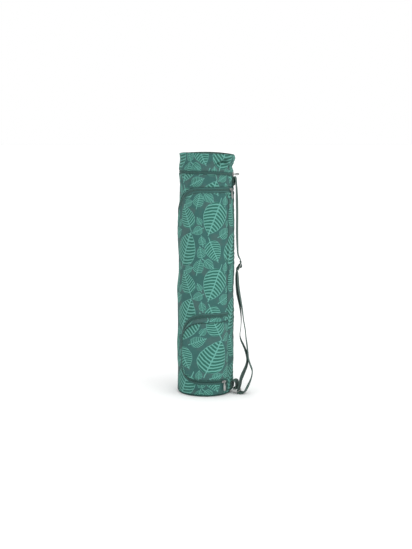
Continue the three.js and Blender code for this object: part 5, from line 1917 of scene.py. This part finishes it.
def ring_meshes():
    """An oblong ring of round wire"""
    tab, strap = ring_bars()
    start, end = ring_plane(*tab), ring_plane(*strap)
    along = (end - start) / np.linalg.norm(end - start)
    angle = math.radians(RING_TURN)
    across = np.array([math.cos(angle), math.sin(angle), 0])
    middle = (start + end) / 2
    half_long = sizes().strap_width / 2 + HARDWARE_PLAY + RING_WIRE / 2
    half_short = (RING_SLOT + RING_WIRE) / 2
    corner = RING_WIRE * 0.8
    outline = []
    for k, (sx, sy) in enumerate(((1, 1), (-1, 1), (-1, -1), (1, -1))):
        for bend in np.radians(np.linspace(0, 90, 9) if sx * sy > 0 else np.linspace(90, 0, 9)):
            outline.append((sx * (half_long - corner + corner * math.cos(bend)),
                            sy * (half_short - corner + corner * math.sin(bend))))
        if k == 0:
            outline += [(half_long * (0.8 - 0.2 * i), half_short) for i in range(9)]
        if k == 2:
            outline += [(-half_long * (0.8 - 0.2 * i), -half_short) for i in range(9)]
    points = np.array([middle + across * x + along * y for x, y in outline])
    return [wire_mesh(points, RING_WIRE, True, sides=16)]


class MATBAG_OT_metal(bpy.types.Operator):
    """Make the sliders, their pulls, the adjuster and the ring of nickel"""

    bl_idname = "matbag.metal"
    bl_label = "Metal parts"

    def execute(self, context):
        for row in ZIP_ENDS:
            seat = zip_end_seat(row)
            slider, pull = f"{row['name']}_slider", f"{row['name']}_pull"
            metal_piece(f"{slider}_metal", slider_meshes(seat), slider)
            metal_piece(f"{pull}_metal", pull_meshes(seat, row["swing"]), pull)
        metal_piece("strap_adjuster_metal", adjuster_meshes(), "strap_adjuster")
        metal_piece("strap_ring_metal", ring_meshes(), "strap_ring")
        return {"FINISHED"}


# The photo's view: where the camera stands, how far it looks down, and its focal length in pixels
CAMERA_PLACE = (0.0, -3.0, 0.75)
CAMERA_PITCH = 7.85
FOCAL_PIXELS = 1067
FRAME_PIXELS = 549
SENSOR = 36.0
ROOM_LIGHT = 0.66
FLOOR_REACH = 40
FLOOR_DROP = 0.0001

# Soft lights: turn and height in degrees, power, and how wide the light is in degrees
SUNS = named_rows(
    "name turn height power spread",
    ("key_sun", 30, 38, 1.3, 75),
    ("top_sun", 10, 84, 1.2, 85))


class MATBAG_OT_stage(bpy.types.Operator):
    """Make the floor, the soft light and the camera"""

    bl_idname = "matbag.stage"
    bl_label = "Stage"

    def execute(self, context):
        scene = context.scene
        scene.view_settings.view_transform = "Standard"
        scene.view_settings.look = "None"
        material, tree, surface = new_material("pale_floor")
        place = tree.nodes.new("ShaderNodeTexCoord").outputs["Object"]
        tone = noise_node(tree, place, 30.0, 2.0)
        pale = tuple(colours().floor)
        dull = tuple(channel * 0.99 for channel in pale)
        set_inputs(tree, surface, Base_Color=mix_colour(tree, tone, dull, pale), Roughness=0.95)
        corners = [(x * FLOOR_REACH, y * FLOOR_REACH, -FLOOR_DROP)
                   for x, y in ((-1, -1), (1, -1), (1, 1), (-1, 1))]
        floor = new_object("floor", corners, [[0, 1, 2, 3]], [material])
        self.room(scene)
        for light in SUNS:
            self.sun(**light)
        data = bpy.data.cameras.new("camera")
        data.sensor_fit = "AUTO"
        data.sensor_width = SENSOR
        data.lens = SENSOR * FOCAL_PIXELS / FRAME_PIXELS
        camera = bpy.data.objects.new("camera", data)
        camera.location = CAMERA_PLACE
        camera.rotation_euler = (math.radians(90 - CAMERA_PITCH), 0, 0)
        scene.collection.objects.link(camera)
        scene.camera = camera
        return {"FINISHED"}

    def room(self, scene):
        """White to the camera, and a softer grey as a light"""
        world = bpy.data.worlds.new("soft_room")
        world.use_nodes = True
        tree = world.node_tree
        tree.nodes.clear()
        seen, lit = (tree.nodes.new("ShaderNodeBackground") for _ in range(2))
        seen.inputs["Strength"].default_value = 1.0
        lit.inputs["Strength"].default_value = ROOM_LIGHT
        for node in (seen, lit):
            node.inputs["Color"].default_value = (1, 1, 1, 1)
        choice = tree.nodes.new("ShaderNodeMixShader")
        by_camera = tree.nodes.new("ShaderNodeLightPath").outputs["Is Camera Ray"]
        tree.links.new(by_camera, choice.inputs["Fac"])
        tree.links.new(lit.outputs[0], choice.inputs[1])
        tree.links.new(seen.outputs[0], choice.inputs[2])
        tree.links.new(choice.outputs[0], tree.nodes.new("ShaderNodeOutputWorld").inputs["Surface"])
        scene.world = world

    def sun(self, name, turn, height, power, spread):
        """A soft light from a turn and a height, in degrees"""
        data = bpy.data.lights.new(name, "SUN")
        data.energy = power
        data.angle = math.radians(spread)
        light = bpy.data.objects.new(name, data)
        light.rotation_euler = (math.radians(90 - height), 0, math.radians(turn))
        bpy.context.scene.collection.objects.link(light)


OPERATORS = [
    MATBAG_OT_materials, MATBAG_OT_tube, MATBAG_OT_collar, MATBAG_OT_pocket, MATBAG_OT_zips,
    MATBAG_OT_base, MATBAG_OT_strap, MATBAG_OT_metal, MATBAG_OT_stage,
]


class MATBAG_PT_panel(bpy.types.Panel):
    """Sizes, colours and steps of the mat bag"""

    bl_idname = "MATBAG_PT_panel"
    bl_label = "Mat Bag"
    bl_space_type = "VIEW_3D"
    bl_region_type = "UI"
    bl_category = "Mat Bag"

    def draw(self, context):
        layout = self.layout
        for group in (context.scene.mat_bag_sizes, context.scene.mat_bag_colours):
            box = layout.box()
            for name in group.__annotations__:
                box.prop(group, name)
        for operator in OPERATORS:
            layout.operator(operator.bl_idname)


CLASSES = [MatBagSizes, MatBagColours, *OPERATORS, MATBAG_PT_panel]


def register():
    for item in CLASSES:
        bpy.utils.register_class(item)
    bpy.types.Scene.mat_bag_sizes = bpy.props.PointerProperty(type=MatBagSizes)
    bpy.types.Scene.mat_bag_colours = bpy.props.PointerProperty(type=MatBagColours)


def unregister():
    del bpy.types.Scene.mat_bag_colours
    del bpy.types.Scene.mat_bag_sizes
    for item in reversed(CLASSES):
        bpy.utils.unregister_class(item)


def main():
    register()
    for operator in OPERATORS:
        family, name = operator.bl_idname.split(".")
        getattr(getattr(bpy.ops, family), name)()


if __name__ == "__main__":
    main()
